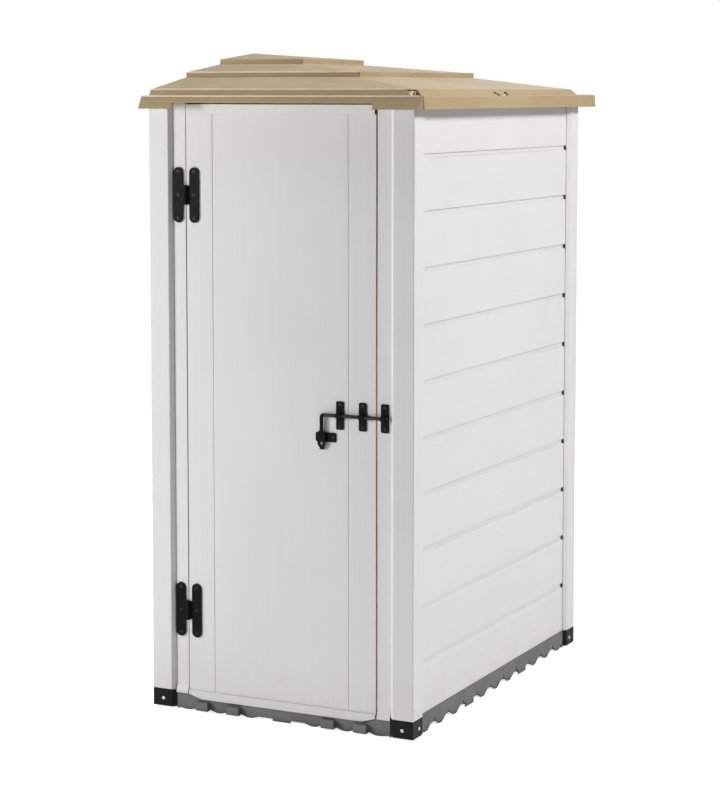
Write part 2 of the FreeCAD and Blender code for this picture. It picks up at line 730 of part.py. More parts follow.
def toothed_edge(origin, sign, edge, corner_at_start, corner_at_end, corner_cut):
    """Outline of the edge wall of a tile, with its teeth, from one end of the tile to the other."""
    rise, slot, fall = edge
    shoulder = rise[-1][1]
    top = dim.foot_height - dim.tile_deck
    start = dim.tile_gap / 2
    end = dim.tile_size - dim.tile_gap / 2
    teeth = int(dim.tile_teeth.number)
    points = []
    if corner_at_start:
        points += [(corner_cut, top), (corner_cut, dim.foot_lift), fall[-1]]
    else:
        points += [(start, top), (start, 0), (dim.seam_tooth, 0), (dim.seam_tooth, shoulder)]
        points += slot + fall
    for index in range(1, teeth - 1):
        points += [(index * tooth_pitch + along, up) for along, up in rise + slot + fall]
    last = (teeth - 1) * tooth_pitch
    if corner_at_end:
        cut_at = dim.tile_size - corner_cut
        points += [(last + rise[0][0], 0), (cut_at, shoulder), (cut_at, top)]
    else:
        points += [(last + along, up) for along, up in rise + slot]
        points += [(end - dim.seam_tooth, shoulder), (end - dim.seam_tooth, 0), (end, 0), (end, top)]
    return [(origin + sign * along, up) for along, up in points]


def make_tile(name, column, row):
    """Floor tile: a deck on ribs, toothed outer edges, and a corner cut out round the foot cap."""
    half_gap = dim.tile_gap / 2
    rib = dim.tile_rib
    deck_bottom = dim.foot_height - dim.tile_deck
    low_x = (tile_left if column == 0 else middle) + half_gap
    high_x = (middle if column == 0 else tile_right) - half_gap
    low_y = tile_front + row * dim.tile_size + half_gap
    high_y = tile_front + (row + 1) * dim.tile_size - half_gap
    foot_x = dim.post_width - dim.tile_margin_side + dim.foot_play
    foot_y = dim.post_depth - dim.tile_margin_front + dim.foot_play
    solids = [box(f"{name}_deck", (low_x, low_y, deck_bottom), (high_x, high_y, dim.foot_height))]
    outer_x = (low_x, low_x + rib) if column == 0 else (high_x - rib, high_x)
    inner_x = (high_x - rib, high_x) if column == 0 else (low_x, low_x + rib)
    edge = toothed_edge(tile_front + row * dim.tile_size, 1, SIDE_EDGE, row == 0, row == 2, foot_y)
    solids.append(prism(f"{name}_side", "YZ", edge, outer_x[0], outer_x[1]))
    solids.append(box(f"{name}_seam_x", (inner_x[0], low_y, 0), (inner_x[1], high_y, dim.foot_height)))
    for end_row, low, high in ((0, low_y, low_y + rib), (2, high_y - rib, high_y)):
        label = f"{name}_front" if end_row == 0 else f"{name}_rear"
        if row != end_row:
            solids.append(box(label, (low_x, low, 0), (high_x, high, dim.foot_height)))
            continue
        origin = tile_left if column == 0 else tile_right
        edge = toothed_edge(origin, 1 if column == 0 else -1, END_EDGE, True, False, foot_x)
        solids.append(prism(label, "XZ", edge, low, high))
    spacing = dim.tile_size / (dim.tile_ribs + 1)
    for index in range(int(dim.tile_ribs.number)):
        offset = (index + 1) * spacing - rib / 2
        solids.append(box(f"{name}_rib_x{index}", (low_x + offset, low_y, 0),
                          (low_x + offset + rib, high_y, dim.foot_height)))
        solids.append(box(f"{name}_rib_y{index}", (low_x, low_y + offset, 0),
                          (high_x, low_y + offset + rib, dim.foot_height)))
    if row == 0:
        for index in (1, 2):
            centre = (index + 0.5) * tooth_pitch
            centre = tile_left + centre if column == 0 else tile_right - centre
            solids.append(box(f"{name}_tab_{index}",
                              (centre - dim.tab_width / 2, low_y - dim.tab_reach, dim.foot_lift),
                              (centre + dim.tab_width / 2, low_y + rib, lip_bottom - dim.tab_clearance)))
    tile = fuse(f"{name}_block", solids)
    if row == 1:
        return tile
    over = dim.cut_over
    corner_x = (low_x - over, tile_left + foot_x) if column == 0 else (tile_right - foot_x, high_x + over)
    corner_y = (low_y - over, tile_front + foot_y) if row == 0 else (tile_rear - foot_y, high_y + over)
    corner = box(f"{name}_corner", (corner_x[0], corner_y[0], -over),
                 (corner_x[1], corner_y[1], dim.foot_height + over))
    walls = box(f"{name}_corner_wall", (corner_x[0] - rib, corner_y[0] - rib, 0),
                (corner_x[1] + rib, corner_y[1] + rib, dim.foot_height))
    whole = box(f"{name}_whole", (low_x, low_y, 0), (high_x, high_y, dim.foot_height))
    walled = fuse(f"{name}_walled", [tile, common(f"{name}_near", walls, whole)])
    return cut(f"{name}_cut", walled, [corner])


# Floor tiles, two across and three deep.
for row, row_name in enumerate(("front", "middle", "rear")):
    for column, column_name in enumerate(("left", "right")):
        tile_name = f"floor_tile_{row_name}_{column_name}"
        node(tile_name, make_tile(f"tile_{row_name}_{column_name}", column, row))


def face_screw(name, x, z, plate):
    """Countersunk screw through a plate on the face of the door or of a jamb."""
    plate_face = door_face - plate
    head = cone(f"{name}_head", dim.screw_head_radius, dim.screw_radius, dim.screw_head_height,
                (x, plate_face, z), "y")
    shank = cylinder(f"{name}_shank", dim.screw_radius, plate + dim.screw_length,
                     (x, plate_face, z), "y")
    return fuse(name, [head, shank])


def countersink(name, x, z, plate):
    """Hole for that screw: a bore through plate and board, and a cone for the head."""
    plate_face = door_face - plate
    play = dim.screw_play
    head = cone(f"{name}_sink", dim.screw_head_radius + play, dim.screw_radius + play,
                dim.screw_head_height + play, (x, plate_face, z), "y")
    bore = cylinder(f"{name}_bore", dim.screw_radius + play,
                    plate + dim.screw_length + dim.end_clearance, (x, plate_face, z), "y")
    return fuse(name, [head, bore])


# Where the screws of the hinges and of the latch stand: name, x, z, plate thickness.
hinge_x = door_left
leaf_width = dim.hinge_jamb + dim.hinge_seam - dim.leaf_offset - dim.leaf_margin
fixed_leaf_x = hinge_x - dim.leaf_offset - leaf_width / 2
moving_leaf_x = hinge_x + dim.leaf_offset + leaf_width / 2
HINGES = [("lower", boards_bottom + dim.lower_hinge_rise), ("upper", door_top - dim.upper_hinge_drop)]
frame_screw_places = []
door_screw_places = []
for hinge_name, level in HINGES:
    for index in (-1, 0, 1):
        z = level + index * dim.leaf_screw_spacing
        frame_screw_places.append((f"{hinge_name}_fixed_{index + 1}", fixed_leaf_x, z))
        door_screw_places.append((f"{hinge_name}_moving_{index + 1}", moving_leaf_x, z))
first_guide_x = door_right - dim.first_guide_inset
second_guide_x = door_right - dim.second_guide_inset
keeper_x = post_right - dim.latch_jamb + dim.keeper_inset
bolt_right = keeper_x + dim.bolt_end
elbow_x = bolt_right - dim.bolt_length
handle_x = elbow_x - dim.elbow_length
eye_level = dim.latch_height - dim.handle_drop
hasp_from = handle_x - dim.hasp_left
hasp_to = hasp_from + dim.hasp_width
hasp_bottom = eye_level + dim.hasp_above_eye
hasp_middle = hasp_bottom + dim.hasp_height / 2
guide_screw_places = []
keeper_screw_places = []
for index in (-1, 1):
    z = dim.latch_height + index * dim.guide_screw_spacing
    guide_screw_places.append((f"first_guide_{index + 1}", first_guide_x, z))
    guide_screw_places.append((f"second_guide_{index + 1}", second_guide_x, z))
    keeper_screw_places.append((f"keeper_{index + 1}", keeper_x, z))
hasp_screw_places = [
    ("hasp_left", hasp_from + dim.hasp_screw_inset, hasp_middle),
    ("hasp_right", hasp_to - dim.hasp_screw_inset, hasp_middle),
]


def holes_for(prefix, places, plate):
    """Countersunk holes at a list of screw places."""
    return [countersink(f"{prefix}_{name}", x, z, plate) for name, x, z in places]


def screws_for(label, places, plate):
    """The screws at a list of places, as one node."""
    screws = [face_screw(f"screw_{name}", x, z, plate) for name, x, z in places]
    return node(label, group(f"{label}_group", screws))


screws_for("hinge_frame_screws", frame_screw_places, dim.leaf_thickness)
screws_for("hinge_door_screws", door_screw_places, dim.leaf_thickness)
screws_for("latch_door_screws", guide_screw_places + hasp_screw_places, dim.guide_thickness)
screws_for("keeper_screws", keeper_screw_places, dim.guide_thickness)


def hollow_board(name, x_from, x_to, low, high, cell_count, bevel_left, bevel_right):
    """Upright hollow board behind the door face, with webs between its cells."""
    skin = dim.panel_skin
    cells = int(cell_count.number)
    shape = []
    if bevel_left:
        shape += [(x_from, door_face + dim.board_bevel), (x_from + dim.board_bevel, door_face)]
    else:
        shape += [(x_from, door_face)]
    if bevel_right:
        shape += [(x_to - dim.board_bevel, door_face), (x_to, door_face + dim.board_bevel)]
    else:
        shape += [(x_to, door_face)]
    shape += [(x_to, door_back), (x_from, door_back)]
    room = x_to - x_from - skin
    chambers = []
    for index in range(cells):
        cell_from = x_from + skin + room * index / cells
        cell_to = x_from + room * (index + 1) / cells
        chambers.append(rectangle(cell_from, door_face + skin, cell_to, door_back - skin))
    return prism(name, "XY", shape, low, high, chambers)


def jamb_lip(name, x_from, x_to):
    """Lip of a jamb in front of the edge of the floor tiles, with a slope up to the jamb's face."""
    shape = [
        (door_face, dim.foot_height + dim.jamb_lip_slope),
        (lip_front, dim.foot_height),
        (lip_front, jamb_lip_bottom),
        (lip_back, jamb_lip_bottom),
        (lip_back, dim.foot_height),
        (door_face, dim.foot_height),
    ]
    return prism(name, "YZ", shape, x_from, x_to)


# Jambs on both sides of the door and the header above it, let into the front posts.
hinge_jamb = hollow_board("hinge_jamb_board", post_left - insert, post_left + dim.hinge_jamb,
                          dim.foot_height, header_bottom, dim.narrow_cells, False, False)
hinge_jamb = fuse("hinge_jamb_block", [
    hinge_jamb, jamb_lip("hinge_jamb_lip", post_left, post_left + dim.hinge_jamb)])
node("hinge_jamb", cut("hinge_jamb_drilled", hinge_jamb,
                       holes_for("jamb", frame_screw_places, dim.leaf_thickness)))
latch_jamb = hollow_board("latch_jamb_board", post_right - dim.latch_jamb, post_right + insert,
                          dim.foot_height, header_bottom, dim.narrow_cells, False, False)
latch_jamb = fuse("latch_jamb_block", [
    latch_jamb, jamb_lip("latch_jamb_lip", post_right - dim.latch_jamb, post_right)])
node("latch_jamb", cut("latch_jamb_drilled", latch_jamb,
                       holes_for("jamb", keeper_screw_places, dim.guide_thickness)))
header_block = rectangle(door_face, header_bottom, door_back, front_seat)
header_hollow = rectangle(door_face + dim.panel_skin, header_bottom + dim.panel_skin,
                          door_back - dim.panel_skin, front_seat - dim.panel_skin)
node("door_header", prism("header_board", "YZ", header_block, rear_from, rear_to, [header_hollow]))

# Door boards between a top rail and a bottom rail with a lip in front of the floor.
panel_from = door_left + dim.stile_width + dim.board_gap
panel_to = door_right - dim.stile_width - dim.board_gap
hinge_stile = hollow_board("hinge_stile_board", door_left, panel_from - dim.board_gap,
                           boards_bottom, boards_top, dim.narrow_cells, False, True)
node("door_hinge_stile", cut("hinge_stile_drilled", hinge_stile,
                             holes_for("stile", door_screw_places, dim.leaf_thickness)))
centre_panel = hollow_board("centre_panel_board", panel_from, panel_to,
                            boards_bottom, boards_top, dim.wide_cells, True, True)
node("door_centre_panel", cut("centre_panel_drilled", centre_panel,
                              holes_for("panel", guide_screw_places[0::2] + hasp_screw_places,
                                        dim.guide_thickness)))
latch_stile = hollow_board("latch_stile_board", panel_to + dim.board_gap, door_right,
                           boards_bottom, boards_top, dim.narrow_cells, True, False)
node("door_latch_stile", cut("latch_stile_drilled", latch_stile,
                             holes_for("stile", guide_screw_places[1::2], dim.guide_thickness)))
rail_face = door_face - dim.top_rail_proud
node("door_top_rail", prism("top_rail_block", "YZ",
                            rectangle(rail_face, boards_top, door_back, door_top),
                            door_left, door_right - dim.top_rail_short,
                            [rectangle(rail_face + dim.panel_skin, boards_top + dim.panel_skin,
                                       door_back - dim.panel_skin, door_top - dim.panel_skin)]))
lip_shape = [
    (door_left, boards_bottom),
    (door_left, jamb_lip_bottom),
    (door_left + dim.lip_corner, lip_bottom),
    (door_right - dim.lip_corner, lip_bottom),
    (door_right, jamb_lip_bottom),
    (door_right, boards_bottom),
]
node("door_bottom_rail", fuse("bottom_rail_block", [
    prism("bottom_rail_lip", "XZ", lip_shape, lip_front, lip_back),
    box("bottom_rail_shelf", (door_left, lip_back, shelf_bottom), (door_right, door_back, boards_bottom)),
]))

# Stepped roof panels. A profile runs from the gable or the ridge line down to the fascia, and a
# plan outline along the hips cuts each panel out of its profile.
gable = left - dim.gable_overhang
riser_top = ledge_height + dim.riser_rise
tier_two_foot = riser_top + dim.tier_two_climb
tier_two_top = tier_two_foot + dim.tier_two_rise
tier_three_foot = tier_two_top + dim.tier_three_climb
tier_three_top = tier_three_foot + dim.tier_three_rise
apex_height = tier_three_top + dim.apex_climb
fascia_bottom = ledge_height - dim.fascia_drop
ledge_right = right + dim.ledge_side
ledge_half = rear + dim.ledge_front
foot_side = right - dim.riser_inset_side
foot_half = rear - dim.riser_inset_front
crest_side = foot_side - dim.riser_run_side
crest_half = foot_half - dim.riser_run_front
tier_two_x = gable + dim.tier_two_reach
tier_three_x = gable + dim.tier_three_reach
fascia_half = ledge_half + dim.fascia_flare_front
fascia_right = ledge_right + dim.fascia_flare_side


def roof_profile(ridge, third, second, crest, foot, ledge, fascia, outward):
    """Section of a roof panel: the stepped top and the same line moved in and down by its sheet."""
    sheet_in = -outward * dim.roof_sheet
    top = [
        (ridge, apex_height),
        (third, tier_three_top),
        (third, tier_three_foot),
        (second, tier_two_top),
        (second, tier_two_foot),
        (crest, riser_top),
        (foot, ledge_height),
        (ledge, ledge_height),
        (fascia, fascia_bottom),
    ]
    under = [(ridge, apex_height - dim.roof_sheet)]
    for across, level in top[1:-1]:
        under.append((across + sheet_in, level - dim.roof_sheet))
    under.append((fascia + sheet_in, fascia_bottom))
    return top + under[::-1]


def hip_line(shift_x):
    """Plan points of the front hip from the apex to the fascia, moved along X."""
    return [
        (gable + shift_x, 0),
        (tier_three_x + shift_x, -dim.tier_three_half),
        (tier_two_x + shift_x, -dim.tier_two_half),
        (crest_side + shift_x, -crest_half),
        (foot_side + shift_x, -foot_half),
        (ledge_right + shift_x, -ledge_half),
    ]


front_profile = roof_profile(0, -dim.tier_three_half, -dim.tier_two_half, -crest_half, -foot_half,
                             -ledge_half, -fascia_half, -1)
side_profile = roof_profile(gable, tier_three_x, tier_two_x, crest_side, foot_side,
                            ledge_right, fascia_right, 1)
over = dim.cut_over
front_plan = hip_line(-dim.hip_gap)[1:] + [
    (ledge_right - dim.fascia_mitre, -fascia_half - over),
    (gable, -fascia_half - over),
    (gable, -dim.hip_gap),
]
side_hip = hip_line(0)
side_plan = side_hip + [(fascia_right + over, -ledge_half), (fascia_right + over, ledge_half)]
side_plan += [(x, -y) for x, y in side_hip[:0:-1]]


def roof_front(name):
    """Front panel, whose fascia is cut away over the door."""
    strip = prism(f"{name}_strip", "YZ", front_profile, gable, ledge_right)
    plan = prism(f"{name}_plan", "XY", front_plan, fascia_bottom - over, apex_height + over)
    return common(f"{name}_whole", strip, plan)


front_panel = roof_front("roof_front")
cutout_half = middle - door_left + dim.cutout_clearance
cutout = box("fascia_cutout", (middle - cutout_half, -fascia_half - over, fascia_bottom - over),
             (middle + cutout_half, -ledge_half + dim.roof_sheet, ledge_height - dim.cutout_drop))
opening_to = foot_side + over
opening_bottom = ledge_height + dim.riser_lip


def corner_opening(name, upper_x, lower_x):
    """Block that leaves the lowest riser open at the front right corner, over the clip. Its
    inner side runs from one X at the top to another at the bottom."""
    opening_top = riser_top - dim.riser_edge
    corners = [(upper_x, opening_top), (lower_x, opening_bottom), (opening_to, opening_bottom),
               (opening_to, opening_top)]
    return prism(name, "XZ", corners, -foot_half - over, -foot_half + dim.corner_opening)


front_opening = corner_opening("front_opening_block", crest_side - dim.corner_opening_front,
                               foot_side - dim.corner_opening_front)
node("roof_front_panel", cut("roof_front_cut", front_panel, [cutout, front_opening]))
node("roof_rear_panel", mirror("roof_rear", roof_front("roof_back"), "y"))
side_strip = prism("roof_side_strip", "XZ", side_profile, -ledge_half, ledge_half)
side_outline = prism("roof_side_outline_block", "XY", side_plan, fascia_bottom - over, apex_height + over)
opening_from = crest_side - dim.roof_sheet * 2
open_corner = corner_opening("side_opening_block", opening_from, opening_from)
slot_block = box("clip_slot_block", (opening_from, -dim.clip_slot_width / 2, opening_bottom),
                 (opening_to, dim.clip_slot_width / 2, ledge_height + dim.clip_slot_height))
tongue_level = opening_bottom + dim.roof_tongue_gap + dim.roof_tongue_radius
clip_tongue = cylinder("clip_tongue", dim.roof_tongue_radius, opening_to - opening_from,
                       (opening_from, 0, tongue_level), "x")
clip_slot = cut("clip_slot", slot_block, [clip_tongue])
side_panel = common("roof_side_panel_whole", side_strip, side_outline)
node("roof_side_panel", cut("roof_side_cut", side_panel, [open_corner, clip_slot]))

under_sheet = -dim.roof_sheet - dim.roof_clearance
gable_half = ledge_half + under_sheet
gable_line = [
    (gable_half, fascia_bottom),
    (gable_half, ledge_height + under_sheet),
    (foot_half + under_sheet, ledge_height + under_sheet),
    (crest_half + under_sheet, riser_top + under_sheet),
    (dim.tier_two_half + under_sheet, tier_two_foot + under_sheet),
    (dim.tier_two_half + under_sheet, tier_two_top + under_sheet),
    (dim.tier_three_half + under_sheet, tier_three_foot + under_sheet),
    (dim.tier_three_half + under_sheet, tier_three_top + under_sheet),
]
gable_shape = [(-along, level) for along, level in gable_line]
gable_shape += [(0, apex_height + under_sheet)]
gable_shape += gable_line[::-1]
node("roof_gable_panel", prism("gable_sheet", "YZ", gable_shape, gable, left))


# Hinges: two leaves with a rounded top and bottom, joined by a three-part barrel on a pin.
axis_y = door_face - dim.barrel_clearance - dim.barrel_radius
knuckle = (dim.barrel_length - 2 * dim.knuckle_gap) / 3


def leaf_plate(name, centre_x, level):
    """Flat leaf with round ends."""
    half_width = leaf_width / 2
    straight = dim.leaf_length / 2 - half_width
    face = door_face - dim.leaf_thickness
    return [
        box(f"{name}_plate", (centre_x - half_width, face, level - straight),
            (centre_x + half_width, door_face, level + straight)),
        cylinder(f"{name}_top", half_width, dim.leaf_thickness, (centre_x, face, level + straight), "y"),
        cylinder(f"{name}_end", half_width, dim.leaf_thickness, (centre_x, face, level - straight), "y"),
    ]


def knuckle_part(name, low, edge_x):
    """One knuckle and the neck that joins it to the edge of its leaf."""
    neck_low = edge_x if edge_x.number < hinge_x.number else hinge_x
    neck_high = hinge_x if edge_x.number < hinge_x.number else edge_x
    return [
        cylinder(f"{name}_barrel", dim.barrel_radius, knuckle, (hinge_x, axis_y, low), "z"),
        box(f"{name}_neck", (neck_low, door_face - 1.5 * dim.leaf_thickness, low),
            (neck_high, door_face - dim.barrel_clearance, low + knuckle)),
    ]


def leaf_root(name, low, edge_x):
    """Strip along the edge of a leaf that runs up to its barrel over the barrel's full length."""
    reach = dim.barrel_radius + dim.knuckle_gap
    root_low = edge_x if edge_x.number < hinge_x.number else hinge_x + reach
    root_high = hinge_x - reach if edge_x.number < hinge_x.number else edge_x
    return box(f"{name}_root", (root_low, door_face - 1.5 * dim.leaf_thickness, low),
               (root_high, door_face - dim.barrel_clearance, low + dim.barrel_length))


pins = []
for hinge_name, level in HINGES:
    barrel_low = level - dim.barrel_length / 2
    middle_low = barrel_low + knuckle + dim.knuckle_gap
    upper_low = middle_low + knuckle + dim.knuckle_gap
    bores = []
    for leaf_name in ("fixed", "moving"):
        bores.append(cylinder(f"{hinge_name}_{leaf_name}_bore", dim.pin_radius + dim.pin_play,
                              dim.barrel_length + 2 * over, (hinge_x, axis_y, barrel_low - over), "z"))
    fixed_edge = hinge_x - dim.leaf_offset
    moving_edge = hinge_x + dim.leaf_offset
    fixed = leaf_plate(f"{hinge_name}_fixed", fixed_leaf_x, level)
    fixed += knuckle_part(f"{hinge_name}_fixed_low", barrel_low, fixed_edge)
    fixed += knuckle_part(f"{hinge_name}_fixed_up", upper_low, fixed_edge)
    fixed.append(leaf_root(f"{hinge_name}_fixed", barrel_low, fixed_edge))
    moving = leaf_plate(f"{hinge_name}_moving", moving_leaf_x, level)
    moving += knuckle_part(f"{hinge_name}_moving_mid", middle_low, moving_edge)
    moving.append(leaf_root(f"{hinge_name}_moving", barrel_low, moving_edge))
    own_frame = [spot for spot in frame_screw_places if spot[0].startswith(hinge_name)]
    own_door = [spot for spot in door_screw_places if spot[0].startswith(hinge_name)]
    node(f"{hinge_name}_hinge_fixed_leaf",
         cut(f"{hinge_name}_fixed_drilled", fuse(f"{hinge_name}_fixed_leaf_block", fixed),
             bores[:1] + holes_for("fixed_leaf", own_frame, dim.leaf_thickness)))
    node(f"{hinge_name}_hinge_door_leaf",
         cut(f"{hinge_name}_moving_drilled", fuse(f"{hinge_name}_moving_leaf_block", moving),
             bores[1:] + holes_for("door_leaf", own_door, dim.leaf_thickness)))
    pins.append(fuse(f"{hinge_name}_pin", [
        cylinder(f"{hinge_name}_pin_bar", dim.pin_radius, dim.barrel_length + 2 * dim.pin_play,
                 (hinge_x, axis_y, barrel_low - dim.pin_play), "z"),
        cylinder(f"{hinge_name}_pin_foot", dim.pin_head_radius, dim.pin_head,
                 (hinge_x, axis_y, barrel_low - dim.pin_play - dim.pin_head), "z"),
        cylinder(f"{hinge_name}_pin_cap", dim.pin_head_radius, dim.pin_head,
                 (hinge_x, axis_y, barrel_low + dim.barrel_length + dim.pin_play), "z"),
    ]))
node("hinge_pins", group("hinge_pin_group", pins))

# Sliding bolt: guides on the door, keeper on the jamb, bolt, turning handle and padlock plate.
bolt_y = door_face - dim.guide_thickness - dim.bolt_play - dim.bolt_radius
bolt_level = dim.latch_height


def rounded_plate(name, low_x, low_z, high_x, high_z):
    """Flat plate on the face of the door or of a jamb, with rounded corners."""
    corner = dim.plate_corner
    face = door_face - dim.guide_thickness
    solids = [
        box(f"{name}_tall", (low_x + corner, face, low_z), (high_x - corner, door_face, high_z)),
        box(f"{name}_wide", (low_x, face, low_z + corner), (high_x, door_face, high_z - corner)),
    ]
    for side, x in (("left", low_x + corner), ("right", high_x - corner)):
        for end, z in (("low", low_z + corner), ("high", high_z - corner)):
            solids.append(cylinder(f"{name}_{side}_{end}", corner, dim.guide_thickness,
                                   (x, face, z), "y"))
    return solids


def guide(name, label, centre_x, places):
    """Plate with a strap over the bolt."""
    half_width = dim.guide_width / 2
    half_strap = dim.strap_width / 2
    bore_radius = dim.bolt_radius + dim.bolt_play
    strap_radius = bore_radius + dim.strap_wall
    face = door_face - dim.guide_thickness
    start_x = centre_x - half_strap
    half_length = dim.guide_length / 2
    solids = rounded_plate(f"{name}_plate", centre_x - half_width, bolt_level - half_length,
                           centre_x + half_width, bolt_level + half_length)
    solids += [
        cylinder(f"{name}_strap", strap_radius, dim.strap_width, (start_x, bolt_y, bolt_level), "x"),
        box(f"{name}_cheeks", (start_x, bolt_y, bolt_level - strap_radius),
            (start_x + dim.strap_width, face, bolt_level + strap_radius)),
    ]
    tools = [
        cylinder(f"{name}_bore", bore_radius, dim.guide_width + 2 * over,
                 (centre_x - half_width - over, bolt_y, bolt_level), "x"),
        box(f"{name}_behind", (centre_x - half_width - over, door_face, bolt_level - strap_radius - over),
            (centre_x + half_width + over, door_face + strap_radius, bolt_level + strap_radius + over)),
    ]
    tools += holes_for(name, places, dim.guide_thickness)
    return node(label, cut(f"{name}_drilled", fuse(f"{name}_block", solids), tools))


guide("guide_one", "bolt_guide_left", first_guide_x, guide_screw_places[0::2])
guide("guide_two", "bolt_guide_right", second_guide_x, guide_screw_places[1::2])
guide("keeper", "bolt_keeper", keeper_x, keeper_screw_places)
node("bolt_rod", cylinder("bolt_bar", dim.bolt_radius, dim.bolt_length - dim.turn_gap,
                          (elbow_x + dim.turn_gap, bolt_y, bolt_level), "x"))

bend_x = handle_x + dim.bend_radius
bend_level = bolt_level - dim.bend_radius
blade_top = eye_level + dim.blade_rise
leg_bottom = blade_top + dim.blade_flare
eye_back = bolt_y + dim.eye_thickness / 2
eye_front = bolt_y - dim.eye_thickness / 2
blade_shape = [
    (handle_x - dim.eye_radius, eye_level),
    (handle_x + dim.eye_radius, eye_level),
    (handle_x + dim.eye_radius, blade_top),
    (handle_x + dim.bolt_radius, leg_bottom),
    (handle_x - dim.bolt_radius, leg_bottom),
    (handle_x - dim.eye_radius, blade_top),
]
bend = quarter_ring("handle_bend_source", dim.bend_radius, dim.bolt_radius,
                    (bend_x, bolt_y, bend_level), "-y")
handle = fuse("handle_block", [
    cylinder("handle_elbow", dim.bolt_radius, dim.elbow_length - dim.bend_radius,
             (bend_x, bolt_y, bolt_level), "x"),
    mirror("handle_bend", bend, "x", bend_x),
    cylinder("handle_leg", dim.bolt_radius, bend_level - leg_bottom,
             (handle_x, bolt_y, leg_bottom), "z"),
    prism("handle_blade", "XZ", blade_shape, eye_front, eye_back),
    cylinder("handle_eye", dim.eye_radius, dim.eye_thickness, (handle_x, eye_front, eye_level), "y"),
])
node("bolt_handle", cut("handle_pierced", handle, [
    cylinder("handle_hole", dim.eye_bore, dim.eye_thickness + 2 * over,
             (handle_x, eye_front - over, eye_level), "y"),
]))

tab_front = eye_back + dim.eye_gap
tab_back = tab_front + dim.tab_thickness
hasp = fuse("hasp_block", rounded_plate("hasp_plate", hasp_from, hasp_bottom, hasp_to,
                                        hasp_bottom + dim.hasp_height) + [
    box("hasp_tab_root", (handle_x - dim.tab_half_width, tab_front, hasp_bottom),
        (handle_x + dim.tab_half_width, door_face, hasp_bottom + dim.tab_root)),
    box("hasp_tab", (handle_x - dim.tab_half_width, tab_front, eye_level - dim.tab_drop),
        (handle_x + dim.tab_half_width, tab_back, hasp_bottom + dim.tab_root)),
])
hasp_tools = [
    cylinder("hasp_hole", dim.eye_bore, dim.tab_thickness + 2 * over,
             (handle_x, tab_front - over, eye_level), "y"),
]
hasp_tools += holes_for("hasp", hasp_screw_places, dim.guide_thickness)
node("padlock_plate", cut("hasp_drilled", hasp, hasp_tools))

doc.recompute()
faults = []
for item in doc.Objects:
    if "Invalid" in item.State or "Error" in item.State:
        faults.append(f"{item.Name}: {item.State}")
for item in NODES:
    if item.Shape.isNull() or not item.Shape.isValid() or not item.Shape.Solids:
        faults.append(f"{item.Label}: no valid solid")
if faults:
    raise RuntimeError("; ".join(faults))

os.makedirs("parts", exist_ok=True)
for item in NODES:
    item.Shape.exportStep(f"parts/{item.Label}.step")
    print(f"{item.Label}: {len(item.Shape.Solids)} solid(s), {item.Shape.Volume / 1000:.1f} cm3")
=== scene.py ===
import math

import bpy
import numpy as np
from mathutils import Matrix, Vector


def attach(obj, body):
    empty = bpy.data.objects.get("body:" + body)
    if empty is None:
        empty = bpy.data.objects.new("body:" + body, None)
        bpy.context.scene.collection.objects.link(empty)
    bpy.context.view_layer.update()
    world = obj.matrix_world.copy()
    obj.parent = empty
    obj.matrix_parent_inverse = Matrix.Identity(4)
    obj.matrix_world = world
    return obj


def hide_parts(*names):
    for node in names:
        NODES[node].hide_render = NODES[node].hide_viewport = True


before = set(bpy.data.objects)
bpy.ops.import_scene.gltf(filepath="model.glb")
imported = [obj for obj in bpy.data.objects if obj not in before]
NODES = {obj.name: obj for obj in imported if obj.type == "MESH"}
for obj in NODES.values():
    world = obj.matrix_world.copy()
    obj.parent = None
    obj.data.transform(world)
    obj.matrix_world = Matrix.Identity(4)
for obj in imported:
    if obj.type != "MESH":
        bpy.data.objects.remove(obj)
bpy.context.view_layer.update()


# Which nodes are made of what

HINGE_POST = ("post_front_left",)
CORNER_POSTS = (
    "post_front_right",
    "post_rear_left",
    "post_rear_right",
)
UPRIGHT_BOARDS = (
    "hinge_jamb",
    "latch_jamb",
    "door_hinge_stile",
    "door_centre_panel",
    "door_latch_stile",
)
CROSS_BOARDS = (
    "door_header",
    "door_top_rail",
    "door_bottom_rail",
    "rear_top_rail",
    "rear_wall_planks",
)
RIGHT_PLANKS = 11
SIDE_BOARDS = (
    "left_wall_planks",
    "side_top_rails",
) + tuple(f"right_wall_plank_{number:02d}" for number in range(1, RIGHT_PLANKS + 1))
MOULDED_CLIPS = ("corner_clips",)
ROOF_PANELS = (
    "roof_front_panel",
    "roof_rear_panel",
    "roof_side_panel",
    "roof_gable_panel",
)
FLOOR_TILES = (
    "floor_tile_front_left",
    "floor_tile_front_right",
    "floor_tile_middle_left",
    "floor_tile_middle_right",
    "floor_tile_rear_left",
    "floor_tile_rear_right",
)
FOOT_CAPS = (
    "foot_front_left",
    "foot_front_right",
    "foot_rear_left",
    "foot_rear_right",
)
PAINTED_FITTINGS = (
    "lower_hinge_fixed_leaf",
    "lower_hinge_door_leaf",
    "upper_hinge_fixed_leaf",
    "upper_hinge_door_leaf",
    "hinge_pins",
    "bolt_guide_left",
    "bolt_guide_right",
    "bolt_keeper",
    "bolt_handle",
    "padlock_plate",
)
PAINTED_ROD = ("bolt_rod",)

# Where the screws stand, in metres

FRONT = (0, -1, 0)
REAR = (0, 1, 0)
LEFT = (-1, 0, 0)
RIGHT = (1, 0, 0)

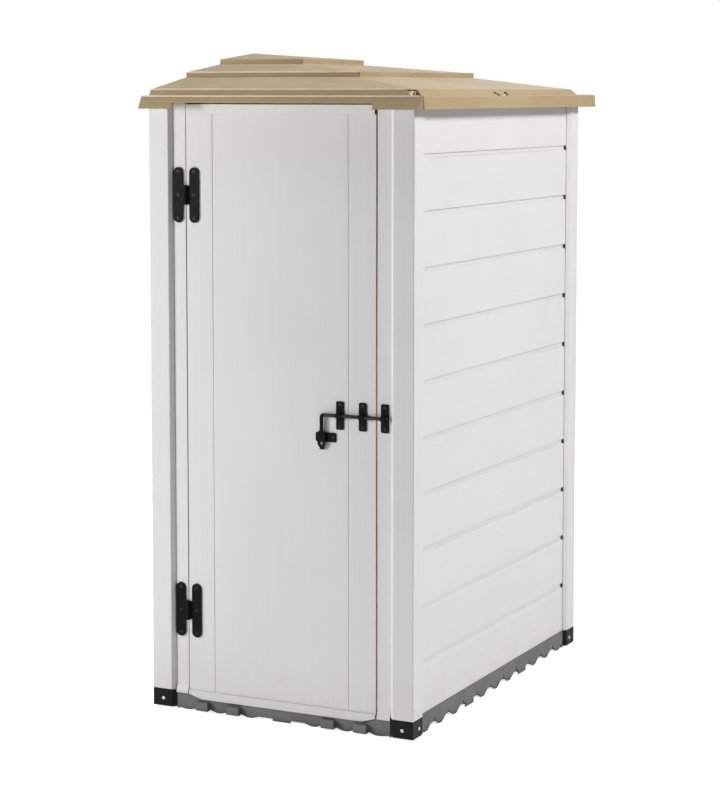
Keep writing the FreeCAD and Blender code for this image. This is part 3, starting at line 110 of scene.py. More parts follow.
HINGE_LEVELS = (0.2895, 1.4675)
LEAF_SCREW_SPACING = 0.0655
LEAF_FACE = -0.602
FIXED_LEAF_MIDDLE = -0.3425
DOOR_LEAF_MIDDLE = -0.2915
LATCH_LEVEL = 0.8765
GUIDE_SCREW_SPACING = 0.030
GUIDE_FACE = -0.601
GUIDE_MIDDLES = (0.163, 0.232)
KEEPER_MIDDLE = 0.2985
PADLOCK_PLATE_SCREWS = (0.0975, 0.1425)
PADLOCK_PLATE_LEVEL = 0.8145
POST_OUTER_SIDES = (-0.431, 0.389)
POST_OUTER_FACE = 0.610
FOOT_SCREW_LEVEL = 0.0265
FOOT_SCREWS_ACROSS = (-0.398, 0.356)
FOOT_SCREW_ALONG = 0.570
POST_SCREW_LEVEL = 0.0685
POST_SCREW_ALONG = 0.582

# A screw's outline from the middle of its head to its tip: radius and height, in millimetres.
# Heights are measured outwards from the face that the head sits in or on. After the outlines
# come the steps round a screw, the angle in degrees past which its edges are sharp, and the
# length of its tip past the last point.

COUNTERSUNK = (
    (0.5, -0.05),
    (0.9, -0.05),
    (1.3, -0.06),
    (1.7, -0.07),
    (2.1, -0.08),
    (2.5, -0.1),
    (2.9, -0.12),
    (3.4, -0.15),
    (3.9, -0.18),
    (4.3, -0.22),
    (4.45, -0.32),
    (2.1, -2.3),
    (2.0, -6.0),
    (2.0, -14.5),
    (0.8, -15.5),
)
BUTTON = (
    (0.5, 1.95),
    (0.9, 1.94),
    (1.3, 1.92),
    (1.7, 1.88),
    (2.1, 1.82),
    (2.5, 1.75),
    (3.0, 1.62),
    (3.5, 1.45),
    (4.0, 1.2),
    (4.5, 0.82),
    (4.9, 0.35),
    (5.0, 0.0),
    (2.0, -0.05),
    (2.0, -6.0),
    (2.0, -11.0),
    (0.8, -12.0),
)
SCREW_AROUND = 48
SCREW_SHARP_ANGLE = 35
TIP_LENGTH = 0.4
MILLIMETRE = 0.001

# The cross-shaped recess of a screw, in millimetres. The outline's points that lie deeper than
# the head below its first one have none.

RECESS_DEPTH = 1.1
ARM_HALF_WIDTH = 0.62
ARM_SIDE_SLOPE = 0.25
ARM_REACH = 2.7
ARM_END_SLOPE = 0.8
HEAD_DEPTH = 1

# Where the seals of the door lie, in metres: the sides of each seam, and how far the seal lies
# behind the face of the door, first at the ends of the seam and then half way up. SEAL_STEPS is
# the number of steps from top to bottom.

DOOR_FACE = -0.598
SEAL_ENDS = (0.0595, 1.7195)
SEAL_HALF_DEPTH = 0.0030
HINGE_SEAL_SIDES = (-0.3202, -0.3174)
HINGE_SEAL_SINK = (0.0006, 0.0012)
LATCH_SEAL_SIDES = (0.2722, 0.2762)
LATCH_SEAL_SINK = (0.0050, 0.0006)
SEAL_STEPS = 160

# The two small parts in the open corner of the roof as bent strips, in metres: the middle line,
# and half the width and half the thickness. After them come the steps along a strip, how many
# steps the mean that smooths it takes in, the power by which it shrinks towards its ends, and the
# share of its squared size that is gone there.

CLIP_HOOK_LINE = (
    (0.3560, -0.5880, 1.7535),
    (0.3600, -0.5885, 1.7552),
    (0.3645, -0.5885, 1.7558),
    (0.3690, -0.5885, 1.7555),
    (0.3722, -0.5880, 1.7540),
    (0.3735, -0.5875, 1.7512),
)
CLIP_HOOK_HALVES = (0.0045, 0.0016)
CLIP_TONGUE_LINE = (
    (0.3775, -0.5800, 1.7545),
    (0.3778, -0.5830, 1.7535),
    (0.3781, -0.5860, 1.7510),
    (0.3783, -0.5880, 1.7480),
    (0.3784, -0.5890, 1.7450),
)
CLIP_TONGUE_HALVES = (0.0030, 0.0040)
STRIP_STEPS = 40
STRIP_SMOOTHING = 7
STRIP_END_POWER = 12
STRIP_END_LOSS = 0.9

# The pale edges of the roof at the front, painted highlights, in metres: the Y and Z of each one's
# line, and the X of its left and right ends. Those at the rear are the same, behind the middle.
# After them come the radius, the steps round and along an edge, the power by which it narrows
# towards its ends, and the share of its squared size that is left there.

ROOF_HIGHLIGHT_EDGES = {
    "ledge": (-0.6440, 1.7430, -0.4330, 0.4300),
    "crest": (-0.5930, 1.7615, -0.4330, 0.3600),
    "second_step": (-0.3980, 1.8105, -0.4330, 0.1265),
}
EDGE_RADIUS = 0.0024
EDGE_AROUND = 16
EDGE_STEPS = 120
EDGE_END_POWER = 60
EDGE_LEAST_SHARE = 0.01

# The section of the seals, strips and edges: the power that presses a circle out towards a
# square, the steps round a seal or a strip, and the angle in degrees past which an edge is sharp

SQUARE_POWER = 0.6
SECTION_AROUND = 20
SECTION_SHARP_ANGLE = 60

# The reach of cloudy noise that is carried over to a tone or a roughness

CLOUDS = (0.36, 0.64)
WIDE_CLOUDS = (0.35, 0.65)
NARROW_CLOUDS = (0.38, 0.62)

# Draw marks of the boards along their extrusion: marks to a metre in X, Y and Z

MARKS_UP = (160, 160, 0.8)
MARKS_ACROSS = (0.8, 160, 160)
MARKS_ALONG = (160, 0.8, 160)

# How far the boards' edges are rounded, and how far the painted shade in their corners reaches, in
# metres

BOARD_ROUNDING = 0.0016
POST_ROUNDING = 0.0045
BOARD_SHADE_REACH = 0.014
TILE_SHADE_REACH = 0.03

# Painted shade in the corners of the boards: its share, the openness of a corner at which it is
# full and at which it ends, and its colour as seen on a screen

FAINT_CORNER_SHADE = (0.15, (0.45, 0.85), (112, 109, 102))
POST_CORNER_SHADE = (0.35, (0.45, 0.85), (112, 109, 102))
SIDE_CORNER_SHADE = (0.65, (0.45, 0.85), (112, 109, 102))
HINGE_POST_CORNER_SHADE = (0.9, (0.68, 0.94), (66, 64, 59))

# The heights between which the dust on the boards and the painted shade on the seals begin or end,
# in metres, and the dust's share at the ground

DUST_ENDS = (0.05, 0.22)
DUST_SHARE = 0.22
SEAL_SHADE_BEGINS = (0.15, 0.45)
SEAL_SHADE_ENDS = (1.35, 1.62)

# The floor grows from its own glow to plain white between two distances from the middle, in
# metres. The surroundings' light is what reaches the object.

FLOOR_REACH = 30.0
NEAR_FLOOR = 1.0
FAR_FLOOR = 2.6
FLOOR_GLOW = 0.80
SURROUNDING_LIGHT = 0.08
WHITE = (1, 1, 1, 1)

# Each lamp's name, its place and what it looks at in metres, its width in metres and its power in
# watts

LAMPS = (
    ("left_key_box", (-3.0, -2.95, 1.6), (0.1, -0.6, 0.9), 0.9, 102),
    ("right_key_box", (3.8, 0.0, 3.3), (0.4, 0.0, 1.0), 0.8, 116),
    ("rear_fill_box", (-0.7, 4.4, 2.4), (0.0, 0.3, 0.9), 1.5, 66),
    ("overhead_box", (0.0, -0.4, 5.0), (0.0, 0.0, 1.0), 2.5, 52),
)

# The camera: place in metres, angles in degrees, lens and sensor in millimetres, the upward shift
# of the frame as a share of its width, and how far it sees in metres

CAMERA_PLACE = (2.874, -5.981, 1.757)
CAMERA_DOWN = 5.08
CAMERA_TURN = 26.22
CAMERA_LENS = 99.98
CAMERA_SENSOR = 36
CAMERA_SHIFT = -0.14
CAMERA_SIGHT = 100


# Building blocks of the finishes


def colour(red, green, blue):
    """A colour as seen on a screen, 0 to 255, turned into the linear values that shaders take."""
    seen = np.array([red, green, blue]) / 255
    linear = np.where(seen <= 0.04045, seen / 12.92, ((seen + 0.055) / 1.055) ** 2.4)
    return (*linear.tolist(), 1.0)


class Nodes:
    """The nodes of a material or of the surroundings, in the making."""

    def __init__(self, owner):
        owner.use_nodes = True
        self.tree = owner.node_tree
        self.tree.nodes.clear()

    def add(self, kind, inputs=None, **settings):
        """A node with its settings, and with each input set to a value or linked to a socket."""
        node = self.tree.nodes.new(kind)
        for setting, value in settings.items():
            setattr(node, setting, value)
        for name, value in (inputs or {}).items():
            self.feed(node.inputs[name], value)
        return node

    def feed(self, socket, value):
        """Links another node's socket to this one, or sets its value."""
        if isinstance(value, bpy.types.NodeSocket):
            self.tree.links.new(value, socket)
        else:
            socket.default_value = value

    def reckon(self, operation, first, second):
        """Two values put together by an operation."""
        node = self.add("ShaderNodeMath", {0: first, 1: second}, operation=operation)
        return node.outputs[0]

    def product(self, first, second):
        """Two values multiplied."""
        return self.reckon("MULTIPLY", first, second)

    def seen(self):
        """1 where the camera, a reflection or glass looks, and 0 for light that bounces."""
        path = self.add("ShaderNodeLightPath")
        share = path.outputs["Is Camera Ray"]
        for name in ("Is Glossy Ray", "Is Transmission Ray"):
            share = self.reckon("MAXIMUM", share, path.outputs[name])
        return share


class Finish(Nodes):
    """A material in the making, with its shader, the place on the object and the way it faces."""

    def __init__(self, name):
        self.material = bpy.data.materials.new(name)
        super().__init__(self.material)
        self.shader = self.add("ShaderNodeBsdfPrincipled")
        self.add("ShaderNodeOutputMaterial", {"Surface": self.shader.outputs["BSDF"]})
        self.place = self.add("ShaderNodeTexCoord").outputs["Object"]
        self.facing = self.add("ShaderNodeNewGeometry").outputs["Normal"]

    def made(self, base, roughness, normal, gloss=None, metallic=None):
        """The material, with what its shader takes. Gloss and metal are left alone if not given."""
        sockets = {
            "Base Color": base,
            "Roughness": roughness,
            "Specular IOR Level": gloss,
            "Metallic": metallic,
            "Normal": normal,
        }
        for name, value in sockets.items():
            if value is not None:
                self.feed(self.shader.inputs[name], value)
        return self.material

    def stretched(self, scale):
        """The place on the object, stretched by a scale along each axis."""
        mapping = self.add("ShaderNodeMapping", {"Vector": self.place, "Scale": scale})
        return mapping.outputs["Vector"]

    def noise(self, scale, detail=2.0, rough=0.5, stretch=(1, 1, 1)):
        """Cloudy noise, about 0.3 to 0.7, with that many clouds to a metre."""
        texture = self.add(
            "ShaderNodeTexNoise",
            {
                "Vector": self.stretched(stretch),
                "Scale": scale,
                "Detail": detail,
                "Roughness": rough,
            },
        )
        return texture.outputs["Fac"]

    def dots(self, scale, stretch=(1, 1, 1), randomness=1.0):
        """Distance to the nearest of many points, that many to a metre: scattered as in a
        moulded leather grain, or on a grid without randomness."""
        texture = self.add(
            "ShaderNodeTexVoronoi",
            {"Vector": self.stretched(stretch), "Scale": scale, "Randomness": randomness},
            feature="F1",
        )
        return texture.outputs["Distance"]

    def span(self, value, reach, low, high):
        """The value's reach, a pair, carried over to another range and held at its ends."""
        node = self.add(
            "ShaderNodeMapRange",
            {
                "Value": value,
                "From Min": reach[0],
                "From Max": reach[1],
                "To Min": low,
                "To Max": high,
            },
            interpolation_type="SMOOTHSTEP",
        )
        return node.outputs["Result"]

    def weighed(self, first, first_share, second, second_share):
        """Two values added up by their shares."""
        return self.reckon(
            "ADD", self.product(first, first_share), self.product(second, second_share)
        )

    def mix(self, amount, first, second):
        """From the first colour to the second as the amount goes from 0 to 1."""
        node = self.add(
            "ShaderNodeMix",
            {"Factor": amount, 6: first, 7: second},
            data_type="RGBA",
        )
        return node.outputs[2]

    def blend(self, value, first, second, reach=CLOUDS):
        """From the first colour to the second as a value goes through its reach."""
        return self.mix(self.span(value, reach, 0, 1), first, second)

    def height(self):
        """Height above the ground, in metres."""
        return self.add("ShaderNodeSeparateXYZ", {0: self.place}).outputs["Z"]

    def upward(self):
        """1 on a face that looks up, 0 on one that stands upright, -1 on one that looks down."""
        return self.add("ShaderNodeSeparateXYZ", {0: self.facing}).outputs["Z"]

    def edges(self, radius, reach=(0.97, 0.75)):
        """The normal rounded over the edges by a radius in metres, and a mask that is 1 at the
        edges. The mask goes up as the agreement of the rounded normal with the flat one goes
        through its reach."""
        normal = self.add("ShaderNodeBevel", {"Radius": radius}, samples=4).outputs["Normal"]
        agreement = self.add(
            "ShaderNodeVectorMath", {0: normal, 1: self.facing}, operation="DOT_PRODUCT"
        )
        return normal, self.span(agreement.outputs["Value"], reach, 0, 1)

    def corner_shade(self, reach, openness):
        """A mask for painted shade: 1 deep in a corner and 0 in the open, by how much lies within a
        reach
        in metres. The openness is a pair: where the shade is full and where it ends."""
        corner = self.add("ShaderNodeAmbientOcclusion", {"Distance": reach}, samples=8)
        return self.span(corner.outputs["AO"], openness, 1, 0)

    def relief(self, height, depth, normal):
        """A bump of a depth in metres over a normal that is already there."""
        node = self.add(
            "ShaderNodeBump",
            {"Height": height, "Strength": 1.0, "Distance": depth, "Normal": normal},
        )
        return node.outputs["Normal"]


def paint(material, names):
    """Gives CAD nodes a material, in place of the plain one they came with."""
    for name in names:
        slots = NODES[name].data.materials
        slots.clear()
        slots.append(material)


# Finishes


def white_board(name, marks_stretch, rounding=BOARD_ROUNDING, corner_shade=FAINT_CORNER_SHADE):
    """White hard vinyl board: nearly smooth, with faint draw marks along the extrusion, a gloss
    that drifts in patches, edges rounded by a radius with a painted highlight along them, painted
    shade in its corners and a breath of dust near the ground."""
    finish = Finish(name)
    normal, edge = finish.edges(rounding)
    clouds = finish.noise(scale=2.4, detail=3.0)
    marks = finish.noise(scale=1.0, detail=4.0, rough=0.6, stretch=marks_stretch)
    tone = finish.weighed(clouds, 0.7, marks, 0.3)
    clean = finish.blend(tone, colour(229, 228, 228), colour(233, 232, 232))
    dust = finish.product(
        finish.span(finish.height(), DUST_ENDS, DUST_SHARE, 0),
        finish.span(finish.noise(scale=22.0, detail=4.0), (0.42, 0.70), 0, 1),
    )
    dusty = finish.mix(dust, clean, colour(216, 213, 206))
    # Painted shade: the board darkens deep in its corners and recesses, where shade falls.
    share, openness, painted_shade = corner_shade
    with_painted_shade = finish.mix(
        finish.product(finish.corner_shade(BOARD_SHADE_REACH, openness), share), dusty, colour(*painted_shade)
    )
    # Painted highlight: the edges are lightened where they catch the light.
    worn = finish.mix(finish.product(edge, 0.25), with_painted_shade, colour(240, 239, 238))
    ripple = finish.weighed(marks, 0.8, finish.noise(scale=650.0), 0.2)
    return finish.made(
        worn,
        roughness=finish.span(tone, WIDE_CLOUDS, 0.42, 0.52),
        normal=finish.relief(ripple, depth=0.00005, normal=normal),
        gloss=0.3,
    )


def moulded_white(name):
    """White moulded clip: a fine spark grain and slightly creamier than the boards."""
    finish = Finish(name)
    normal, edge = finish.edges(radius=0.001)
    grain = finish.noise(scale=420.0, detail=3.0)
    base = finish.blend(grain, colour(226, 225, 222), colour(233, 232, 230), WIDE_CLOUDS)
    return finish.made(
        finish.mix(edge, base, colour(242, 241, 239)),
        roughness=finish.span(grain, WIDE_CLOUDS, 0.42, 0.58),
        normal=finish.relief(grain, depth=0.0001, normal=normal),
    )


def roof_sheet(name):
    """Tan moulded roof sheet: pebbled skin, cloudy tone, and painted lit and shaded tones: paler
    and greyer where it faces the sky, darker and warmer on the upright faces, with a painted
    highlight along its edges."""
    finish = Finish(name)
    normal, edge = finish.edges(radius=0.0026, reach=(0.985, 0.88))
    clouds = finish.noise(scale=3.2, detail=4.0)
    fibres = finish.noise(scale=1.0, detail=4.0, rough=0.65, stretch=(9, 9, 190))
    pebbles = finish.dots(scale=520.0)
    tone = finish.weighed(clouds, 0.65, fibres, 0.35)
    # Lit and shaded copies of one tan: a darker painted shaded tone for the upright faces and a
    # paler painted lit tone for the faces that look up.
    upright = finish.blend(tone, colour(178, 156, 122), colour(188, 167, 134), NARROW_CLOUDS)
    flat = finish.blend(tone, colour(193, 175, 146), colour(203, 186, 159), NARROW_CLOUDS)
    base = finish.blend(finish.upward(), upright, flat, (0.85, 0.97))
    skin = finish.weighed(pebbles, 0.7, fibres, 0.5)
    # The edges get a painted highlight, a paler tan mixed in over the edge mask.
    return finish.made(
        finish.mix(finish.product(edge, 0.5), base, colour(228, 212, 186)),
        roughness=finish.span(finish.reckon("ADD", pebbles, clouds), (0.6, 1.3), 0.68, 0.84),
        normal=finish.relief(skin, depth=0.00030, normal=normal),
        gloss=0.08,
    )


def highlight_edge_finish():
    """The roof's plastic along its edges: paler than the sheet as a painted highlight, with a fine
    grain.
    """
    finish = Finish("tan_highlight_edge")
    normal, edge = finish.edges(radius=0.0008)
    wear = finish.noise(scale=1.0, detail=4.0, rough=0.6, stretch=(14, 160, 160))
    # Painted highlight: the whole bead is a paler tan than the roof, and lighter still at its own
    # edges.
    base = finish.blend(wear, colour(224, 210, 187), colour(238, 226, 205))
    return finish.made(
        finish.mix(finish.product(edge, 0.2), base, colour(244, 234, 216)),
        roughness=finish.span(wear, CLOUDS, 0.5, 0.68),
        normal=finish.relief(wear, depth=0.0001, normal=normal),
        gloss=0.15,
    )


def seal_finish(name, darker, lighter, painted_shade_share):
    """Soft seal: matt, finely grained, cloudy between two tones, paler on its worn lip, and
    darkened by a share over the middle of its height with painted shade, the shade that falls in
    the seam."""
    finish = Finish(name)
    normal, edge = finish.edges(radius=0.0006)
    grain = finish.noise(scale=900.0, detail=3.0)
    clouds = finish.noise(scale=14.0, detail=4.0)
    height = finish.height()
    # Painted shade: the seal darkens over the middle of its height, the shade that falls in the
    # seam.
    painted_shade = finish.product(
        finish.span(height, SEAL_SHADE_BEGINS, 0, painted_shade_share), finish.span(height, SEAL_SHADE_ENDS, 1, 0)
    )
    with_painted_shade = finish.mix(painted_shade, finish.blend(clouds, darker, lighter), colour(64, 58, 50))
    return finish.made(
        finish.mix(finish.product(edge, 0.1), with_painted_shade, colour(214, 212, 208)),
        roughness=finish.span(grain, CLOUDS, 0.6, 0.8),
        normal=finish.relief(grain, depth=0.00008, normal=normal),
        gloss=0.25,
    )


def tile_plastic():
    """Grey recycled floor plastic: speckled, dull, darker with painted shade in its corners, and
    with round grip studs on its top face."""
    finish = Finish("grey_floor_plastic")
    normal, edge = finish.edges(radius=0.0014)
    clouds = finish.noise(scale=9.0, detail=4.0)
    specks = finish.noise(scale=900.0, detail=2.0)
    tone = finish.weighed(clouds, 0.5, specks, 0.5)
    base = finish.blend(tone, colour(105, 105, 103), colour(129, 129, 126))
    # Painted shade: the tile darkens deep in its corners and round its tabs, where shade falls.
    painted_corner_shade = finish.product(finish.corner_shade(TILE_SHADE_REACH, (0.35, 0.9)), 0.6)
    shaded = finish.mix(painted_corner_shade, base, colour(62, 62, 60))
    studs = finish.span(
        finish.dots(scale=50.0, stretch=(1, 1, 0), randomness=0.0), (0.22, 0.36), 1, 0
    )
    on_top = finish.span(finish.upward(), (0.9, 0.99), 0, 1)
    grained = finish.relief(specks, depth=0.00035, normal=normal)
    return finish.made(
        finish.mix(finish.product(edge, 0.6), shaded, colour(142, 142, 139)),
        roughness=finish.span(tone, CLOUDS, 0.62, 0.82),
        normal=finish.relief(finish.product(studs, on_top), depth=0.0012, normal=grained),
        gloss=0.3,
    )


def foot_plastic():
    """Black moulded foot cap: even satin with a fine grain, greyer along its edges."""
    finish = Finish("black_foot_plastic")
    normal, edge = finish.edges(radius=0.0016)
    grain = finish.noise(scale=700.0, detail=3.0)
    clouds = finish.noise(scale=16.0, detail=3.0)
    base = finish.blend(clouds, colour(20, 20, 21), colour(27, 27, 28))
    return finish.made(
        finish.mix(edge, base, colour(44, 44, 45)),
        roughness=finish.span(clouds, CLOUDS, 0.5, 0.64),
        normal=finish.relief(grain, depth=0.00018, normal=normal),
        gloss=0.1,
    )


def black_paint(name, gloss, roughest):
    """Black powder coat on iron fittings: orange-peel skin of a gloss, as rough as given at its
    dullest, and rubbed grey along the edges."""
    finish = Finish(name)
    normal, edge = finish.edges(radius=0.0009)
    peel = finish.noise(scale=480.0, detail=2.0)
    clouds = finish.noise(scale=60.0, detail=4.0)
    base = finish.blend(clouds, colour(7, 7, 8), colour(12, 12, 13))
    rubbed = finish.product(edge, finish.span(clouds, (0.4, 0.62), 0.1, 0.6))
    return finish.made(
        finish.mix(rubbed, base, colour(44, 44, 45)),
        roughness=finish.span(clouds, CLOUDS, roughest - 0.14, roughest),
        normal=finish.relief(peel, depth=0.00022, normal=normal),
        gloss=gloss,
    )


def black_screw_finish():
    """Blackened screw steel, darker than the fittings and a little worn."""
    finish = Finish("blackened_screw_steel")
    wear = finish.noise(scale=900.0, detail=3.0)
    return finish.made(
        finish.blend(wear, colour(18, 18, 19), colour(44, 44, 46), (0.4, 0.66)),
        roughness=finish.span(wear, CLOUDS, 0.32, 0.5),
        normal=finish.relief(wear, depth=0.00008, normal=finish.facing),
        metallic=0.6,
    )


def zinc_screw_finish():
    """Bright zinc plate with a faint cloud."""
    finish = Finish("zinc_plated_steel")
    cloud = finish.noise(scale=500.0, detail=3.0)
    return finish.made(
        finish.blend(cloud, colour(168, 169, 170), colour(204, 205, 206)),
        roughness=finish.span(cloud, CLOUDS, 0.34, 0.5),
        normal=finish.relief(cloud, depth=0.00005, normal=finish.facing),
        metallic=0.9,
    )


# Surfaces worked out on grids


def mesh_from_arrays(name, points, faces, material, sharp_angle):
    """A mesh object from arrays, smooth except across edges sharper than an angle in degrees."""
    mesh = bpy.data.meshes.new(name)
    mesh.from_pydata(points, [], faces)
    mesh.polygons.foreach_set("use_smooth", np.ones(len(mesh.polygons), bool))
    mesh.set_sharp_from_angle(angle=math.radians(sharp_angle))
    mesh.materials.append(material)
    mesh.update()
    piece = bpy.data.objects.new(name, mesh)
    bpy.context.scene.collection.objects.link(piece)
    return piece


def turned_faces(rings, around):
    """Faces of a turned shape: a fan at its first point, quads between its rings, which close
    round, and a fan at its last point."""
    step = np.arange(around)
    following = (step + 1) % around
    first = np.stack([np.zeros(around, int), 1 + step, 1 + following], 1)
    row = 1 + around * np.arange(rings - 1)[:, None]
    quads = np.stack(
        [row + step, row + around + step, row + around + following, row + following], -1
    ).reshape(-1, 4)
    last_row = 1 + around * (rings - 1)
    end = last_row + around
    last = np.stack([np.full(around, end), last_row + following, last_row + step], 1)
    return first.tolist() + quads.tolist() + last.tolist()


def carried_section(name, rings, ends, material):
    """A piece from a section carried along a line: a row of rings of points, and the point that
    closes the first ring and the one that closes the last."""
    points = np.concatenate([ends[:1], rings.reshape(-1, 3), ends[1:]])
    faces = turned_faces(*rings.shape[:2])
    return mesh_from_arrays(name, points, faces, material, SECTION_SHARP_ANGLE)


def once_round(steps):
    """Angles once round a circle, in radians."""
    return np.linspace(0, 2 * np.pi, steps, endpoint=False)


def rounded_square(steps):
    """A circle pressed out towards a square: steps round it, each way from -1 to 1. Each way is
    the sine or cosine of the angle, taken to a power under one with its sign kept."""
    angle = once_round(steps)
    wave = np.stack([np.cos(angle), np.sin(angle)])
    return np.sign(wave) * np.abs(wave) ** SQUARE_POWER


def cross_recess(radius, angle):
    """Depth of the cross-shaped recess in millimetres: full within the two crossing arms, and
    running out smoothly at their sides and ends."""
    one = np.abs(radius * np.cos(angle))
    other = np.abs(radius * np.sin(angle))
    inside = np.clip((ARM_HALF_WIDTH - np.minimum(one, other)) / ARM_SIDE_SLOPE, 0, 1)
    reach = np.clip((ARM_REACH - np.maximum(one, other)) / ARM_END_SLOPE, 0, 1)
    return RECESS_DEPTH * inside * reach


def screws(name, material, outline, places, directions, turns):
    """Turned screws with a cross recess. Each outline point goes once round the screw's axis;
    height less the recess is measured along the direction that the head looks to. Every screw
    has its own turn of the cross, in degrees."""
    outline_radius, outline_height = np.array(outline).T
    radius, around = np.meshgrid(outline_radius, once_round(SCREW_AROUND), indexing="ij")
    on_head = outline_height[:, None] > outline_height[0] - HEAD_DEPTH
    height = outline_height[:, None] - cross_recess(radius, around) * on_head
    places = np.array(places, float)
    directions = np.array(directions, float)
    turns = np.radians(np.array(turns, float))[:, None, None]
    upright = np.array([0.0, 0.0, 1.0])
    sideways = np.cross(upright, directions)
    across = radius * np.cos(around + turns)
    along = radius * np.sin(around + turns)
    rings = (
        across[..., None] * sideways[:, None, None, :]
        + along[..., None] * upright
        + height[None, ..., None] * directions[:, None, None, :]
    ) * MILLIMETRE + places[:, None, None, :]
    head_height = outline_height[0] - cross_recess(0.0, 0.0)
    head = places + directions * head_height * MILLIMETRE
    tip = places + directions * (outline_height[-1] - TIP_LENGTH) * MILLIMETRE
    points = np.concatenate(
        [head[:, None, :], rings.reshape(len(places), -1, 3), tip[:, None, :]], axis=1
    )
    one_screw = turned_faces(len(outline), SCREW_AROUND)
    faces = [
        [number * points.shape[1] + corner for corner in face]
        for number in range(len(places))
        for face in one_screw
    ]
    return mesh_from_arrays(name, points.reshape(-1, 3), faces, material, SCREW_SHARP_ANGLE)


def add_screws():
    """The screws of the hinges, the latch, the foot caps and the posts, in place of the plain
    ones of the CAD model."""
    black = black_screw_finish()
    zinc = zinc_screw_finish()
    leaf_levels = [
        level + step * LEAF_SCREW_SPACING for level in HINGE_LEVELS for step in (-1, 0, 1)
    ]
    guide_levels = (LATCH_LEVEL - GUIDE_SCREW_SPACING, LATCH_LEVEL + GUIDE_SCREW_SPACING)
    frame_places = [(FIXED_LEAF_MIDDLE, LEAF_FACE, level) for level in leaf_levels]
    door_places = [(DOOR_LEAF_MIDDLE, LEAF_FACE, level) for level in leaf_levels]
    latch_places = [
        (middle, GUIDE_FACE, level) for middle in GUIDE_MIDDLES for level in guide_levels
    ] + [(x, GUIDE_FACE, PADLOCK_PLATE_LEVEL) for x in PADLOCK_PLATE_SCREWS]
    keeper_places = [(KEEPER_MIDDLE, GUIDE_FACE, level) for level in guide_levels]
    sets = (
        ("hinge_frame_screws", "cabinet", frame_places, (12, 50, 31, 74, 22, 65)),
        ("hinge_door_screws", "door", door_places, (38, 5, 59, 17, 80, 44)),
        ("latch_door_screws", "door", latch_places, (25, 68, 9, 47, 33, 71)),
        ("keeper_screws", "cabinet", keeper_places, (55, 14)),
    )
    for node, body, places, turns in sets:
        directions = [FRONT] * len(places)
        piece = screws(f"{node}_turned", black, COUNTERSUNK, places, directions, turns)
        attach(piece, body)
        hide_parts(node)

    foot_places = []
    foot_directions = []
    post_places = []
    post_directions = []
    for outer, across, aside in zip(POST_OUTER_SIDES, FOOT_SCREWS_ACROSS, (LEFT, RIGHT)):
        for towards, direction in ((-1, FRONT), (1, REAR)):
            foot_places.append((across, towards * POST_OUTER_FACE, FOOT_SCREW_LEVEL))
            foot_directions.append(direction)
            foot_places.append((outer, towards * FOOT_SCREW_ALONG, FOOT_SCREW_LEVEL))
            foot_directions.append(aside)
            post_places.append((outer, towards * POST_SCREW_ALONG, POST_SCREW_LEVEL))
            post_directions.append(aside)
    sets = (
        ("foot_screws", foot_places, foot_directions, (20, 62, 41, 8, 33, 75, 50, 15)),
        ("post_screws", post_places, post_directions, (28, 53, 10, 66)),
    )
    for node, places, directions, turns in sets:
        piece = screws(f"{node}_turned", zinc, BUTTON, places, directions, turns)
        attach(piece, "cabinet")
        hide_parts(node)


def seam_seal(name, material, sides, sink):
    """A soft seal in a seam of the door: a rounded square carried down the seam from top to
    bottom. Its depth behind the door's face goes from one value at both ends to another half way
    up, by the square of a sine."""
    across, along = rounded_square(SECTION_AROUND)
    down = np.linspace(0, 1, SEAL_STEPS)
    front = DOOR_FACE + (sink[0] + (sink[1] - sink[0]) * np.sin(np.pi * down) ** 2)
    level = SEAL_ENDS[1] + (SEAL_ENDS[0] - SEAL_ENDS[1]) * down
    middle = sum(sides) / 2
    half_width = (sides[1] - sides[0]) / 2
    rings = np.stack(
        np.broadcast_arrays(
            middle + half_width * across,
            front[:, None] + SEAL_HALF_DEPTH * (1 + along),
            level[:, None],
        ),
        -1,
    )
    ends = [(middle, front[end] + SEAL_HALF_DEPTH, level[end]) for end in (0, -1)]
    return carried_section(name, rings, ends, material)


def add_seals():
    """The two soft seals in the seams beside the door, held by the jambs."""
    pale = seal_finish(
        "pale_soft_seal", colour(194, 186, 180), colour(206, 199, 194), painted_shade_share=0.95
    )
    tan = seal_finish(
        "tan_soft_seal", colour(158, 143, 122), colour(174, 159, 138), painted_shade_share=0.0
    )
    seals = (
        ("hinge_seam_seal", pale, HINGE_SEAL_SIDES, HINGE_SEAL_SINK),
        ("latch_seam_seal", tan, LATCH_SEAL_SIDES, LATCH_SEAL_SINK),
    )
    for name, material, sides, sink in seals:
        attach(seam_seal(name, material, sides, sink), "cabinet")


